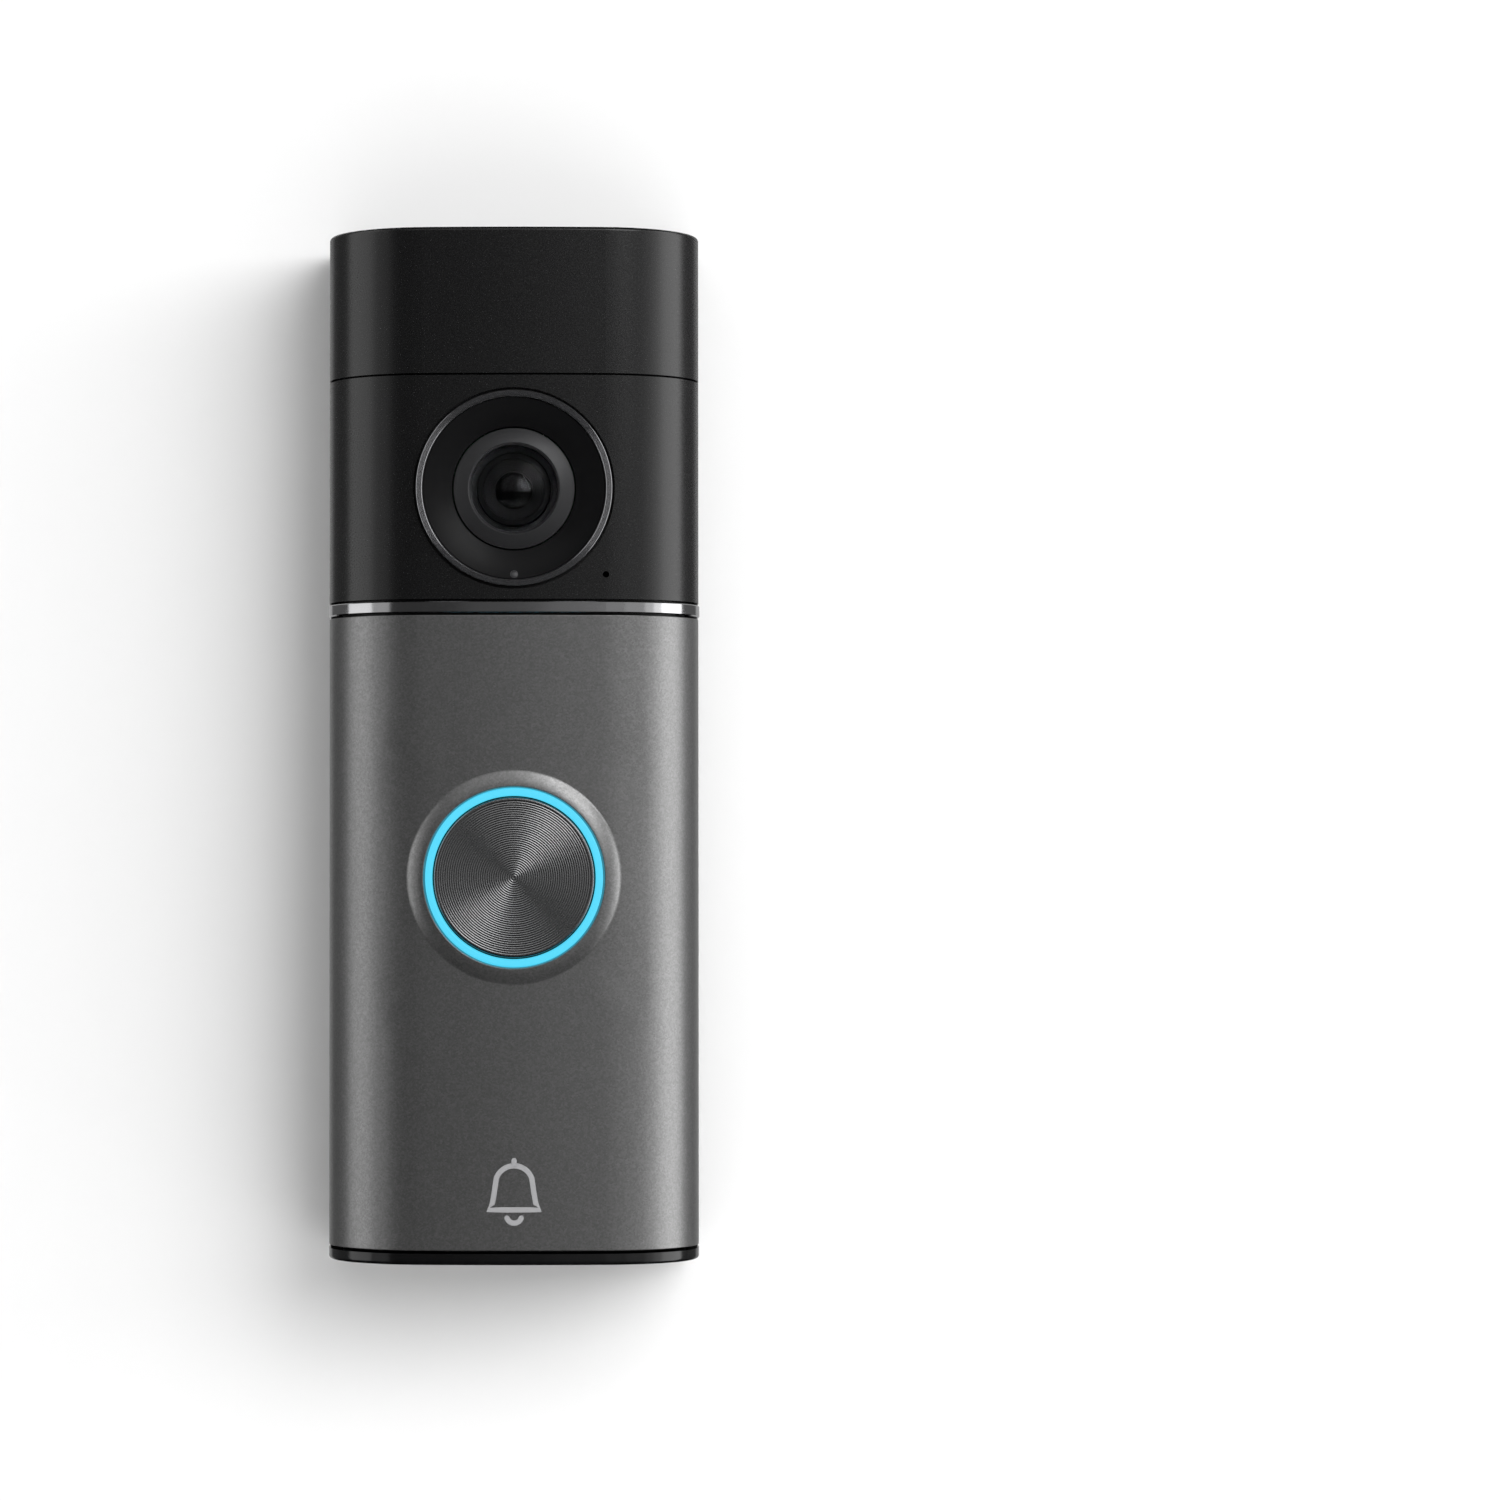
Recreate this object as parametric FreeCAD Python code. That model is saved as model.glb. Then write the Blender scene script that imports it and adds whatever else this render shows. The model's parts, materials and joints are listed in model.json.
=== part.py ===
"""Slim wired video doorbell with its wall plate, one STEP file per separate piece.

Frame: millimetres, +Z up, +X to the right of someone facing the doorbell, front towards -Y.
The origin is the centre of the wall plate's adhesive back, which lies on the wall at y = 0.
"""
import FreeCAD, Part
import math
import os

V = FreeCAD.Vector
Y_AXIS = V(0, 1, 0)

# ---------------------------------------------------------------- driving dimensions
# body outline and the heights of the front's sections
WIDTH = 47.0
HEIGHT = 129.8
FRONT_Y = -28.0
UNIT_BACK_Y = -1.5
CORNER_R = 13.0
CROWN_R = 150.0
EDGE_R = 0.45
SHELL_T = 1.4
SEAM = 0.25
SPLIT_Y = -9.0
SHELL_BACK_Y = SPLIT_Y - 0.15
CAP_SEAM_Z = 46.4
BAND_TOP_Z = 17.975
BAND_BOTTOM_Z = 16.475
BAND_PROUD = 0.12
BASE_TOP_Z = -63.5
BASE_GROOVE = 0.38

# camera, all turned about the line along Y at height CAM_Z
CAM_Z = 32.1
RING_R = 12.4
RING_BORE_R = 11.45
RING_FRONT_Y = -28.4
RING_BACK_Y = -26.4
LEDGE_R = 10.8
LEDGE_Y = -26.95
WINDOW_R = 11.4
WINDOW_BORE_R = 7.75
BEZEL_R = 7.6
BEZEL_CREST_Y = -27.55
BEZEL_EDGE_Y = -26.75
BEZEL_BORE_R = 5.45
DISH_Y = -25.9
CUP_R = 11.7
CUP_FRONT_Y = -26.2
FLANGE_R = 13.0
FLANGE_Y = -23.6
FLANGE_BACK_Y = -21.2
WEB_Y = -22.4
SLEEVE_R = 6.2
SLEEVE_FRONT_Y = -24.2
SLEEVE_BACK_Y = -17.2
BARREL_R = 4.6
BARREL_FRONT_Y = -25.2
BARREL_MOUTH_R = 3.75
DOME_R = 5.35
DOME_APEX_Y = -27.5
DOME_HOLLOW_R = 4.75
LENS_R = 2.36
LENS_Y = (-22.7, -20.5, -18.4)
EAR_R = 1.7
FILTER_Y = -15.85
FILTER_TRAVEL = 4.5
SENSOR_BOARD_Y = -13.9
STATUS_Z = 21.3
STATUS_R = 0.5
MIC_X = 11.5
MIC_R = 0.41

# button
BUTTON_Z = -16.6
CAP_R = 10.0
BUTTON_FRONT_Y = -28.6
SKIRT_BACK_Y = -25.5
CROWN_BACK_Y = -26.9
LIGHT_BORE_R = 10.25
LIGHT_R = 11.2
LIGHT_FRONT_Y = -28.55
LIGHT_FLANGE_R = 12.6
LIGHT_FLANGE_Y = (-23.4, -22.6)
PAD_HOLE_R = 11.35
PAD_TOP_R = 11.8
PAD_BASE_R = 13.4
PAD_FRONT_Y = -28.45
STEM_R = 2.0
STEM_BACK_Y = -23.0
BUTTON_BOARD_Y = -20.5
GUIDE_FRONT_Y = -24.5
GUIDE_R = 10.1

# chassis and rear housing
CHASSIS_INSET = SHELL_T + 0.3
CHASSIS_T = 1.4
CHASSIS_TOP_Z = 62.9
CHASSIS_BOTTOM_Z = -63.3
CHASSIS_BACK_Y = -9.35
CHASSIS_INNER_Y = FRONT_Y + CHASSIS_INSET + CHASSIS_T
BAY_FLOOR_Y = -17.0
REAR_WALL_Y = -6.9
RECESS_Y = -5.1
CAVITY_W = 40.6
CAVITY_H = 123.4

# wall plate
PLATE_W = 36.3
PLATE_H = 124.3
PLATE_FRONT_Y = -4.8
PLATE_STEP_Y = -2.3
PLATE_FLOOR_Y = -2.0
STRIP_T = 0.8
STRIP_X = (8.2, 17.0)
RIM_T = 1.5
RIB_T = 0.6
RIB_FRONT_Y = -4.3
BOSS_R = 3.0
BOSS_FRONT_Y = -4.6
INSERT_R = 2.1
INSERT_BORE_R = 1.23
INSERT_Z = (51.8, 41.9, 29.4, -14.5, -23.4, -35.9)
WINDOW_W = 15.4
WINDOW_H = 32.7
WINDOW_Z = 4.93
WINDOW_FRAME_T = 1.38
TAB_X = 12.0
TAB_W = 7.1
TAB_TOP_Z = -53.0
TAB_FOLD_Z = -61.0

# fasteners
PLATE_SCREW_Z = (INSERT_Z[0], INSERT_Z[-1])
PLATE_SCREW_SEAT_Y = -8.2
TUNNEL_R = 4.4
TUNNEL_BORE_R = 3.2
TUNNEL_SPLIT_Y = -12.0
CHASSIS_SCREW_AT = [(sx * 15.5, sz * 56.5) for sx in (-1, 1) for sz in (-1, 1)]
CAMERA_SCREW_ANGLES = (45, 135, 270)
CAMERA_SCREW_R = 15.0
SENSOR_POST = 6.6
# each screw's head radius, head height and shank radius
EAR_SCREW = (1.5, 1.0, 0.8)
SENSOR_SCREW = (1.3, 0.8, 0.7)
BOARD_SCREW = (1.6, 1.1, 0.9)
CHASSIS_SCREW = (1.8, 1.2, 0.98)
TERMINAL_SCREW = (2.6, 1.4, 1.5)
PLATE_SCREW = (2.75, 2.0, 1.18)

# boards
BOARD_Y = -10.4
BOARD_T = 1.0
SMALL_BOARD_T = 0.8
BOARD_HALF_W = 17.0
MAIN_BOARD_Z = (-6.0, 45.0)
POWER_BOARD_Z = (-44.0, -8.0)
BOARD_SCREW_AT = [(sx * 14.5, z) for sx in (-1, 1) for z in (42.0, -3.0, -11.0, -41.0)]
BUTTON_SCREW_X = 15.8

# terminals
TERMINAL_Z = 5.0
TERMINAL_PITCH = 12.0
TERMINAL_W = 13.4
TERMINAL_H = 25.8
TERMINAL_BACK_Y = -5.3

# speaker
SPEAKER_Y = -16.0
SPEAKER_L = 24.0
SPEAKER_W = 13.0
SPEAKER_FACE_Z = -60.9
CONE_L = 20.2
CONE_W = 9.2
SLOT_X = (-6.0, -3.0, 0.0, 3.0, 6.0)
SLOT_L = 8.0
SLOT_W = 1.2

# setup button in the bay under the top cap
SETUP_X = 8.5
SETUP_Z = 57.0
SETUP_R = 1.8


# ---------------------------------------------------------------- shape helpers
def box(x0, x1, y0, y1, z0, z1):
    """Box between two corners."""
    return Part.makeBox(x1 - x0, y1 - y0, z1 - z0, V(x0, y0, z0))


def slab(x, z, width, height, y0, y1):
    """Box of a given width and height about (x, z), from y0 back to y1."""
    return box(x - width / 2, x + width / 2, y0, y1, z - height / 2, z + height / 2)


def rounded_slab(x, z, width, height, y0, y1, radius):
    """Slab with its four edges along Y rounded."""
    body = slab(x, z, width, height, y0, y1)
    along_y = [e for e in body.Edges if abs(e.tangentAt(e.FirstParameter).dot(Y_AXIS)) > 0.99]
    return body.makeFillet(radius, along_y)


def rod(x, z, radius, y0, y1):
    """Cylinder along Y, from y0 back to y1."""
    return Part.makeCylinder(radius, y1 - y0, V(x, y0, z), Y_AXIS)


def ring(x, z, outer, inner, y0, y1):
    """Flat ring about a line along Y."""
    return rod(x, z, outer, y0, y1).cut(rod(x, z, inner, y0 - 1, y1 + 1))


def turned(x, z, profile):
    """Solid turned about the line along Y through (x, z); profile is a list of (r, y)."""
    points = [V(r, y, 0) for r, y in profile]
    face = Part.Face(Part.makePolygon(points + [points[0]]))
    solid = face.revolve(V(0, 0, 0), Y_AXIS, 360)
    solid.translate(V(x, 0, z))
    return solid


def racetrack(length, width, z0, z1):
    """Upright block with straight sides and half-round ends, centred on the speaker."""
    block = box(-length / 2, length / 2, SPEAKER_Y - width / 2, SPEAKER_Y + width / 2, z0, z1)
    upright = [e for e in block.Edges if abs(e.tangentAt(e.FirstParameter).z) > 0.99]
    return block.makeFillet(width / 2 - 0.01, upright)


def screw(x, z, way, seat_y, size, shank_l):
    """Pan-head screw along Y with a cross recess; way is +1 when it points back, -1 when forward."""
    head_r, head_h, shank_r = size
    top = seat_y - way * head_h
    head = rod(x, z, head_r, *sorted((seat_y, top)))
    shank = rod(x, z, shank_r, *sorted((seat_y, seat_y + way * shank_l)))
    recess = sorted((top + way * head_h * 0.5, top - way))
    slot = head_r * 0.28
    span = head_r * 1.2
    cross = [slab(x, z, span, slot, *recess), slab(x, z, slot, span, *recess)]
    return fuse([head, shank]).cut(group(cross))


def fuse(shapes):
    """One solid from several that touch or overlap."""
    return shapes[0].multiFuse(shapes[1:]).removeSplitter()


def group(shapes):
    """Separate solids kept together as one set."""
    return Part.makeCompound(shapes)


def polar(angle, radius):
    """Offset (x, z) at an angle from +X towards +Z."""
    turn = math.radians(angle)
    return radius * math.cos(turn), radius * math.sin(turn)


def body_section(inset, back_y, z):
    """The body's outline at height z: straight sides, corner arcs and a slightly crowned front."""
    corner_r = CORNER_R - inset
    half = WIDTH / 2 - inset
    cx = WIDTH / 2 - CORNER_R
    crown_y = FRONT_Y + CROWN_R
    cy = crown_y - math.sqrt((CROWN_R - CORNER_R) ** 2 - cx ** 2)
    reach = (CROWN_R - inset) / (CROWN_R - CORNER_R)
    tx = cx * reach
    ty = crown_y + (cy - crown_y) * reach
    halfway = math.atan2(ty - cy, tx - cx) / 2
    mx = cx + corner_r * math.cos(halfway)
    my = cy + corner_r * math.sin(halfway)
    edges = [
        Part.LineSegment(V(-half, back_y, z), V(-half, cy, z)),
        Part.Arc(V(-half, cy, z), V(-mx, my, z), V(-tx, ty, z)),
        Part.Arc(V(-tx, ty, z), V(0, FRONT_Y + inset, z), V(tx, ty, z)),
        Part.Arc(V(tx, ty, z), V(mx, my, z), V(half, cy, z)),
        Part.LineSegment(V(half, cy, z), V(half, back_y, z)),
        Part.LineSegment(V(half, back_y, z), V(-half, back_y, z)),
    ]
    return Part.Face(Part.Wire([e.toShape() for e in edges]))


def body_block(inset, back_y, z0, z1):
    """Solid with the body's outline between two heights."""
    return body_section(inset, back_y, z0).extrude(V(0, 0, z1 - z0))


def body_shell(z0, z1):
    """Front shell wall between two heights, open at the back."""
    outer = body_block(0, SHELL_BACK_Y, z0, z1)
    return outer.cut(body_block(SHELL_T, SHELL_BACK_Y + 1, z0 - 1, z1 + 1))


def outline_edges(shape, z, back_y):
    """The outline's edges at height z, without the straight one across the back."""
    found = []
    for edge in shape.Edges:
        b = edge.BoundBox
        if abs(b.ZMin - z) < 0.01 and abs(b.ZMax - z) < 0.01 and b.YMin < back_y - 0.01:
            found.append(edge)
    return found


# ---------------------------------------------------------------- outer shells
def top_cap():
    """Removable cap: roof, front and sides, open below and behind."""
    z0 = CAP_SEAM_Z + SEAM / 2
    top = HEIGHT / 2
    outer = body_block(0, SHELL_BACK_Y, z0, top)
    outer = outer.makeFillet(EDGE_R, outline_edges(outer, top, SHELL_BACK_Y))
    return outer.cut(body_block(SHELL_T, SHELL_BACK_Y + 1, z0 - 1, top - SHELL_T))


def head_shell():
    """Camera section's skin, with the camera's aperture and the microphone hole."""
    shell = body_shell(BAND_TOP_Z + SEAM, CAP_SEAM_Z - SEAM / 2)
    shell = shell.cut(rod(0, CAM_Z, RING_R + 0.22, FRONT_Y - 1, -20))
    return shell.cut(rod(MIC_X, STATUS_Z, MIC_R, FRONT_Y - 1, -20))


def chrome_band():
    """Bright trim band, a little proud of the body, with chamfered rims."""
    band = body_block(-BAND_PROUD, SHELL_BACK_Y, BAND_BOTTOM_Z, BAND_TOP_Z)
    rims = outline_edges(band, BAND_TOP_Z, SHELL_BACK_Y)
    rims += outline_edges(band, BAND_BOTTOM_Z, SHELL_BACK_Y)
    band = band.makeChamfer(0.15, rims)
    return band.cut(body_block(SHELL_T, SHELL_BACK_Y + 1, BAND_BOTTOM_Z - 1, BAND_TOP_Z + 1))


def faceplate():
    """Lower front skin with a raised round pad about the button."""
    shell = body_shell(BASE_TOP_Z + BASE_GROOVE, BAND_BOTTOM_Z - SEAM)
    root_y = -25.4
    pad = turned(0, BUTTON_Z, [
        (0, root_y), (PAD_BASE_R, root_y), (PAD_BASE_R, -27.2), (PAD_TOP_R, PAD_FRONT_Y),
        (0, PAD_FRONT_Y)])
    inside = body_block(SHELL_T, SHELL_BACK_Y + 1, BASE_TOP_Z - 1, BAND_BOTTOM_Z + 1)
    shell = fuse([shell, pad.cut(inside)])
    return shell.cut(rod(0, BUTTON_Z, PAD_HOLE_R, FRONT_Y - 2, -20))


def speaker_slots(z0, z1):
    """Cutters for the slots that let the speaker's sound out below."""
    y0 = SPEAKER_Y - SLOT_L / 2
    return [box(x - SLOT_W / 2, x + SLOT_W / 2, y0, y0 + SLOT_L, z0, z1) for x in SLOT_X]


def base_cap():
    """Black base with the sound slots and two locating pegs."""
    bottom = -HEIGHT / 2
    base = body_block(0, SHELL_BACK_Y, bottom, BASE_TOP_Z)
    base = base.makeFillet(EDGE_R, outline_edges(base, bottom, SHELL_BACK_Y))
    pegs = [Part.makeCylinder(1.2, 1.6, V(sx * 17, -15, BASE_TOP_Z - 0.2)) for sx in (-1, 1)]
    base = fuse([base] + pegs)
    return base.cut(group(speaker_slots(bottom - 1, BASE_TOP_Z + 1)))


def rear_housing():
    """Back tray: rim seen from the side, recess for the wall plate, screw tunnels and bosses."""
    tray = box(-WIDTH / 2, WIDTH / 2, SPLIT_Y, UNIT_BACK_Y, -HEIGHT / 2, HEIGHT / 2)
    ends = [e for e in tray.Edges if e.BoundBox.YLength < 0.01 and e.BoundBox.YMin > UNIT_BACK_Y - 0.01]
    tray = tray.makeChamfer(0.6, ends)
    recess = rounded_slab(0, 0, PLATE_W + 0.8, PLATE_H + 0.8, RECESS_Y, UNIT_BACK_Y + 1, 1.2)
    cavity = rounded_slab(0, 0, CAVITY_W, CAVITY_H, SPLIT_Y - 1, REAR_WALL_Y, 2.0)
    seal_groove = rounded_slab(0, 0, 43.2, 125.2, SPLIT_Y - 1, -8.5, 3.0)
    seal_groove = seal_groove.cut(rounded_slab(0, 0, 41.2, 123.9, SPLIT_Y - 2, -8, 2.2))
    tray = tray.cut(group([recess, cavity, seal_groove]))
    bosses = [rod(0, z, TUNNEL_R, TUNNEL_SPLIT_Y, REAR_WALL_Y + 0.5) for z in PLATE_SCREW_Z]
    bosses += [rod(x, z, 2.9, SPLIT_Y, REAR_WALL_Y + 0.5) for x, z in CHASSIS_SCREW_AT]
    bosses += [rod(x, z, 2.0, BOARD_Y, REAR_WALL_Y + 0.5) for x, z in BOARD_SCREW_AT]
    bosses += [rod(SETUP_X, SETUP_Z, 1.5, -11.9, REAR_WALL_Y + 0.5)]
    tray = fuse([tray] + bosses)
    holes = [slab(0, TERMINAL_Z, TERMINAL_W + 0.3, TERMINAL_H + 0.3, SPLIT_Y, 0)]
    for z in PLATE_SCREW_Z:
        holes.append(rod(0, z, TUNNEL_BORE_R, TUNNEL_SPLIT_Y - 1, PLATE_SCREW_SEAT_Y))
        holes.append(rod(0, z, 1.7, TUNNEL_SPLIT_Y, 0))
    for x, z in CHASSIS_SCREW_AT:
        holes.append(rod(x, z, 2.0, -6.6, 0))
        holes.append(rod(x, z, 1.1, -10, 0))
    for x, z in BOARD_SCREW_AT:
        holes.append(rod(x, z, 0.95, -11, -7.4))
    return tray.cut(group(holes))


def housing_gasket():
    """Flat seal between the chassis and the rear housing."""
    seal = rounded_slab(0, 0, 43.0, 125.0, -9.3, -8.55, 2.9)
    return seal.cut(rounded_slab(0, 0, 41.4, 124.1, -10, -8, 2.3))


# ---------------------------------------------------------------- chassis
def chassis():
    """Inner front cover that carries the camera, button and speaker behind the outer skins."""
    outer = body_block(CHASSIS_INSET, CHASSIS_BACK_Y, CHASSIS_BOTTOM_Z, CHASSIS_TOP_Z)
    bay = box(-30, 30, -30, BAY_FLOOR_Y, CAP_SEAM_Z, 70)
    outer = outer.cut(bay)
    inner_z0 = CHASSIS_BOTTOM_Z + CHASSIS_T
    inner_z1 = CHASSIS_TOP_Z - CHASSIS_T
    inner = body_block(CHASSIS_INSET + CHASSIS_T, CHASSIS_BACK_Y + 1, inner_z0, inner_z1)
    inner = inner.cut(box(-30, 30, -30, BAY_FLOOR_Y + CHASSIS_T, CAP_SEAM_Z - 1.0, 70))
    shell = outer.cut(inner)
    front = CHASSIS_INNER_Y
    bosses = [rod(0, PLATE_SCREW_Z[0], TUNNEL_R, BAY_FLOOR_Y + 0.5, TUNNEL_SPLIT_Y - 0.3)]
    bosses += [rod(0, PLATE_SCREW_Z[1], TUNNEL_R, front - 0.5, TUNNEL_SPLIT_Y - 0.3)]
    for x, z in CHASSIS_SCREW_AT:
        start = BAY_FLOOR_Y + 0.5 if z > 0 else -23.3
        bosses.append(rod(x, z, 2.6, start, CHASSIS_BACK_Y))
    bosses += [rod(x, z, EAR_R, front - 0.4, FLANGE_Y) for x, z in camera_ears()]
    bosses += [rod(sx * BUTTON_SCREW_X, BUTTON_Z, 1.9, -22.6, BUTTON_BOARD_Y) for sx in (-1, 1)]
    bosses.append(ring(0, CAM_Z, FLANGE_R, CUP_R + 0.2, front - 0.3, -24.2))
    shell = fuse([shell] + bosses)
    holes = [rod(0, CAM_Z, CUP_R + 0.2, -30, -20), rod(0, BUTTON_Z, PAD_HOLE_R, -30, -22)]
    holes.append(rod(MIC_X, STATUS_Z, 0.6, -30, -20))
    holes.append(rod(SETUP_X, SETUP_Z, SETUP_R + 0.15, -20, -10))
    holes += [rod(0, z, TUNNEL_BORE_R, -30, -10) for z in PLATE_SCREW_Z]
    holes += [rod(x, z, 1.02, -15.0, -9) for x, z in CHASSIS_SCREW_AT]
    holes += [rod(x, z, 0.84, -25.2, FLANGE_Y + 1) for x, z in camera_ears()]
    holes += [rod(sx * BUTTON_SCREW_X, BUTTON_Z, 0.84, -22.3, -19) for sx in (-1, 1)]
    holes += [Part.makeCylinder(1.35, 3, V(sx * 17, -15, CHASSIS_BOTTOM_Z - 1)) for sx in (-1, 1)]
    holes += speaker_slots(CHASSIS_BOTTOM_Z - 1, CHASSIS_BOTTOM_Z + CHASSIS_T + 0.5)
    return shell.cut(group(holes))


def tunnel_seals():
    """Rings that seal the chassis to the rear housing round the two screw tunnels."""
    return group([ring(0, z, 4.2, 3.4, -12.28, -12.02) for z in PLATE_SCREW_Z])


# ---------------------------------------------------------------- camera
def camera_ears():
    """Places of the three screws through the camera housing's ears."""
    offsets = [polar(angle, CAMERA_SCREW_R) for angle in CAMERA_SCREW_ANGLES]
    return [(dx, CAM_Z + dz) for dx, dz in offsets]


def sensor_posts():
    """Places of the four posts behind the camera."""
    return [(sx * SENSOR_POST, CAM_Z + sz * SENSOR_POST) for sx in (-1, 1) for sz in (-1, 1)]


def camera_ring():
    """Metal trim ring round the camera, with a ledge for the black window."""
    body = turned(0, CAM_Z, [
        (RING_BORE_R, -28.15), (RING_BORE_R + 0.2, RING_FRONT_Y), (RING_R - 0.1, RING_FRONT_Y),
        (RING_R, RING_FRONT_Y + 0.1), (RING_R, RING_BACK_Y), (LEDGE_R, RING_BACK_Y),
        (LEDGE_R, LEDGE_Y), (RING_BORE_R, LEDGE_Y)])
    return body.cut(rod(0, STATUS_Z, 0.6, -29, -26))


def ir_window():
    """Dished black window in front of the infrared lights."""
    body = turned(0, CAM_Z, [
        (WINDOW_BORE_R, DISH_Y - 1.0), (WINDOW_R, FRONT_Y), (WINDOW_R, LEDGE_Y - 0.1),
        (LEDGE_R - 0.1, LEDGE_Y - 0.1), (WINDOW_BORE_R, DISH_Y)])
    return body.cut(rod(0, STATUS_Z, STATUS_R + 0.05, -29, -25))


def lens_bezel():
    """Conical bezel that rises from the window towards the front glass, pressed on the sleeve."""
    return turned(0, CAM_Z, [
        (BEZEL_BORE_R, BEZEL_CREST_Y + 0.35), (BEZEL_BORE_R + 0.3, BEZEL_CREST_Y),
        (BEZEL_R, BEZEL_EDGE_Y), (BEZEL_R, -25.2), (BEZEL_R - 0.4, -25.2),
        (BEZEL_R - 0.4, WEB_Y - 0.2), (SLEEVE_R + 0.05, WEB_Y - 0.2),
        (SLEEVE_R + 0.05, SLEEVE_FRONT_Y - 0.4), (BEZEL_BORE_R, -25.0)])


def bulge_ball(apex_y, rim_r, rise, way):
    """Ball whose surface passes the apex and, after the given rise, a rim; way is +1 for a front apex."""
    ball_r = (rim_r ** 2 + rise ** 2) / (2 * rise)
    return Part.makeSphere(ball_r, V(0, apex_y + way * ball_r, CAM_Z))


def lens_dome():
    """Domed front glass."""
    apex = DOME_APEX_Y
    back_y = SLEEVE_FRONT_Y - 0.1
    glass = rod(0, CAM_Z, DOME_R, apex - 0.1, back_y).common(bulge_ball(apex, DOME_R, 1.6, 1))
    hollow = rod(0, CAM_Z, DOME_HOLLOW_R, apex, back_y + 1)
    return glass.cut(hollow.common(bulge_ball(apex + 0.8, DOME_HOLLOW_R, 1.35, 1)))


def lens_barrel():
    """Threaded lens barrel with a stepped, flared mouth."""
    bore_r = LENS_R + 0.05
    return turned(0, CAM_Z, [
        (BARREL_MOUTH_R, BARREL_FRONT_Y), (BARREL_R, BARREL_FRONT_Y), (BARREL_R, -17.4), (bore_r, -17.4),
        (bore_r, -23.4), (3.4, -24.3), (BARREL_MOUTH_R, -24.3)])


def lens_element(y, thickness, bulge):
    """Biconvex lens centred at y."""
    f = y - thickness / 2 - bulge
    b = y + thickness / 2 + bulge
    disc = rod(0, CAM_Z, LENS_R, f - 0.1, b + 0.1)
    return disc.common(bulge_ball(f, LENS_R, bulge, 1)).common(bulge_ball(b, LENS_R, bulge, -1))


def lens_elements():
    """Three glass lenses in the barrel."""
    return group([lens_element(y, 0.7, 0.4) for y in LENS_Y])


def camera_housing():
    """Cup, flange and lens sleeve in one moulding, with posts for the sensor board."""
    body = turned(0, CAM_Z, [
        (BARREL_R + 0.05, SLEEVE_FRONT_Y), (SLEEVE_R, SLEEVE_FRONT_Y), (SLEEVE_R, WEB_Y),
        (CUP_R - 0.8, WEB_Y), (CUP_R - 0.8, CUP_FRONT_Y), (CUP_R, CUP_FRONT_Y), (CUP_R, FLANGE_Y),
        (FLANGE_R, FLANGE_Y), (FLANGE_R, FLANGE_BACK_Y), (SLEEVE_R, FLANGE_BACK_Y),
        (SLEEVE_R, SLEEVE_BACK_Y), (BARREL_R + 0.05, SLEEVE_BACK_Y)])
    adds = []
    holes = [rod(0, STATUS_Z, 0.6, -27, SLEEVE_FRONT_Y)]
    for x, z in sensor_posts():
        adds.append(rod(x, z, 1.2, -21.6, SENSOR_BOARD_Y))
        holes.append(rod(x, z, 0.74, -17.5, -13))
    for x, z in camera_ears():
        adds.append(rod(x, z, EAR_R, FLANGE_Y + 0.02, WEB_Y))
        adds.append(rod(x * 0.86, CAM_Z + (z - CAM_Z) * 0.86, 1.5, FLANGE_Y + 0.02, WEB_Y))
        holes.append(rod(x, z, 0.95, -25, -21))
    return fuse([body] + adds).cut(group(holes))


def camera_gasket():
    """Seal between the camera housing's flange and the chassis."""
    return ring(0, CAM_Z, FLANGE_R - 0.1, CUP_R + 0.25, -24.15, FLANGE_Y - 0.05)


def camera_screws():
    """Three screws in the camera housing's ears and four smaller ones in the sensor board."""
    screws = []
    for x, z in camera_ears():
        screws.append(screw(x, z, -1, WEB_Y, EAR_SCREW, 2.6))
    for x, z in sensor_posts():
        screws.append(screw(x, z, -1, SENSOR_BOARD_Y + SMALL_BOARD_T, SENSOR_SCREW, 3.6))
    return group(screws)


def ir_led_board():
    """Ring board behind the black window."""
    return ring(0, CAM_Z, 10.7, 7.5, WEB_Y - SMALL_BOARD_T, WEB_Y)


def ir_leds():
    """Six infrared lights on the ring board."""
    leds = []
    for step in range(6):
        dx, dz = polar(step * 60, 9.1)
        leds.append(slab(dx, CAM_Z + dz, 1.8, 1.8, WEB_Y - 1.8, WEB_Y - SMALL_BOARD_T))
    return group(leds)


def status_light():
    """Light pipe that ends in the black window, over its light on the ring board."""
    return rod(0, STATUS_Z, STATUS_R, -27.8, -24.6)


def filter_frame():
    """Frame with a cross slot in which the infrared-cut filter slides."""
    body = slab(0, CAM_Z, 16.4, 7.8, FILTER_Y - 1.05, FILTER_Y + 0.95)
    slot = slab(0, CAM_Z, 15.5, 6.0, FILTER_Y - 0.35, FILTER_Y + 0.35)
    return body.cut(slot).cut(rod(0, CAM_Z, 2.4, FILTER_Y - 2, FILTER_Y + 2))


def filter_slide():
    """Sliding carrier with two windows; the left-hand position puts its right window over the lens."""
    body = slab(-FILTER_TRAVEL / 2, CAM_Z, 10.4, 5.8, FILTER_Y - 0.25, FILTER_Y + 0.25)
    holes = [rod(x, CAM_Z, 2.1, FILTER_Y - 1, FILTER_Y + 1) for x in (0, -FILTER_TRAVEL)]
    return body.cut(group(holes))


def filter_glass():
    """Infrared-cut glass and clear glass in the carrier."""
    return group([rod(x, CAM_Z, 2.05, FILTER_Y - 0.2, FILTER_Y + 0.2) for x in (0, -FILTER_TRAVEL)])


def image_sensor():
    """Sensor chip behind the lens."""
    return slab(0, CAM_Z, 6.4, 5.0, SENSOR_BOARD_Y - 0.8, SENSOR_BOARD_Y)


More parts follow.
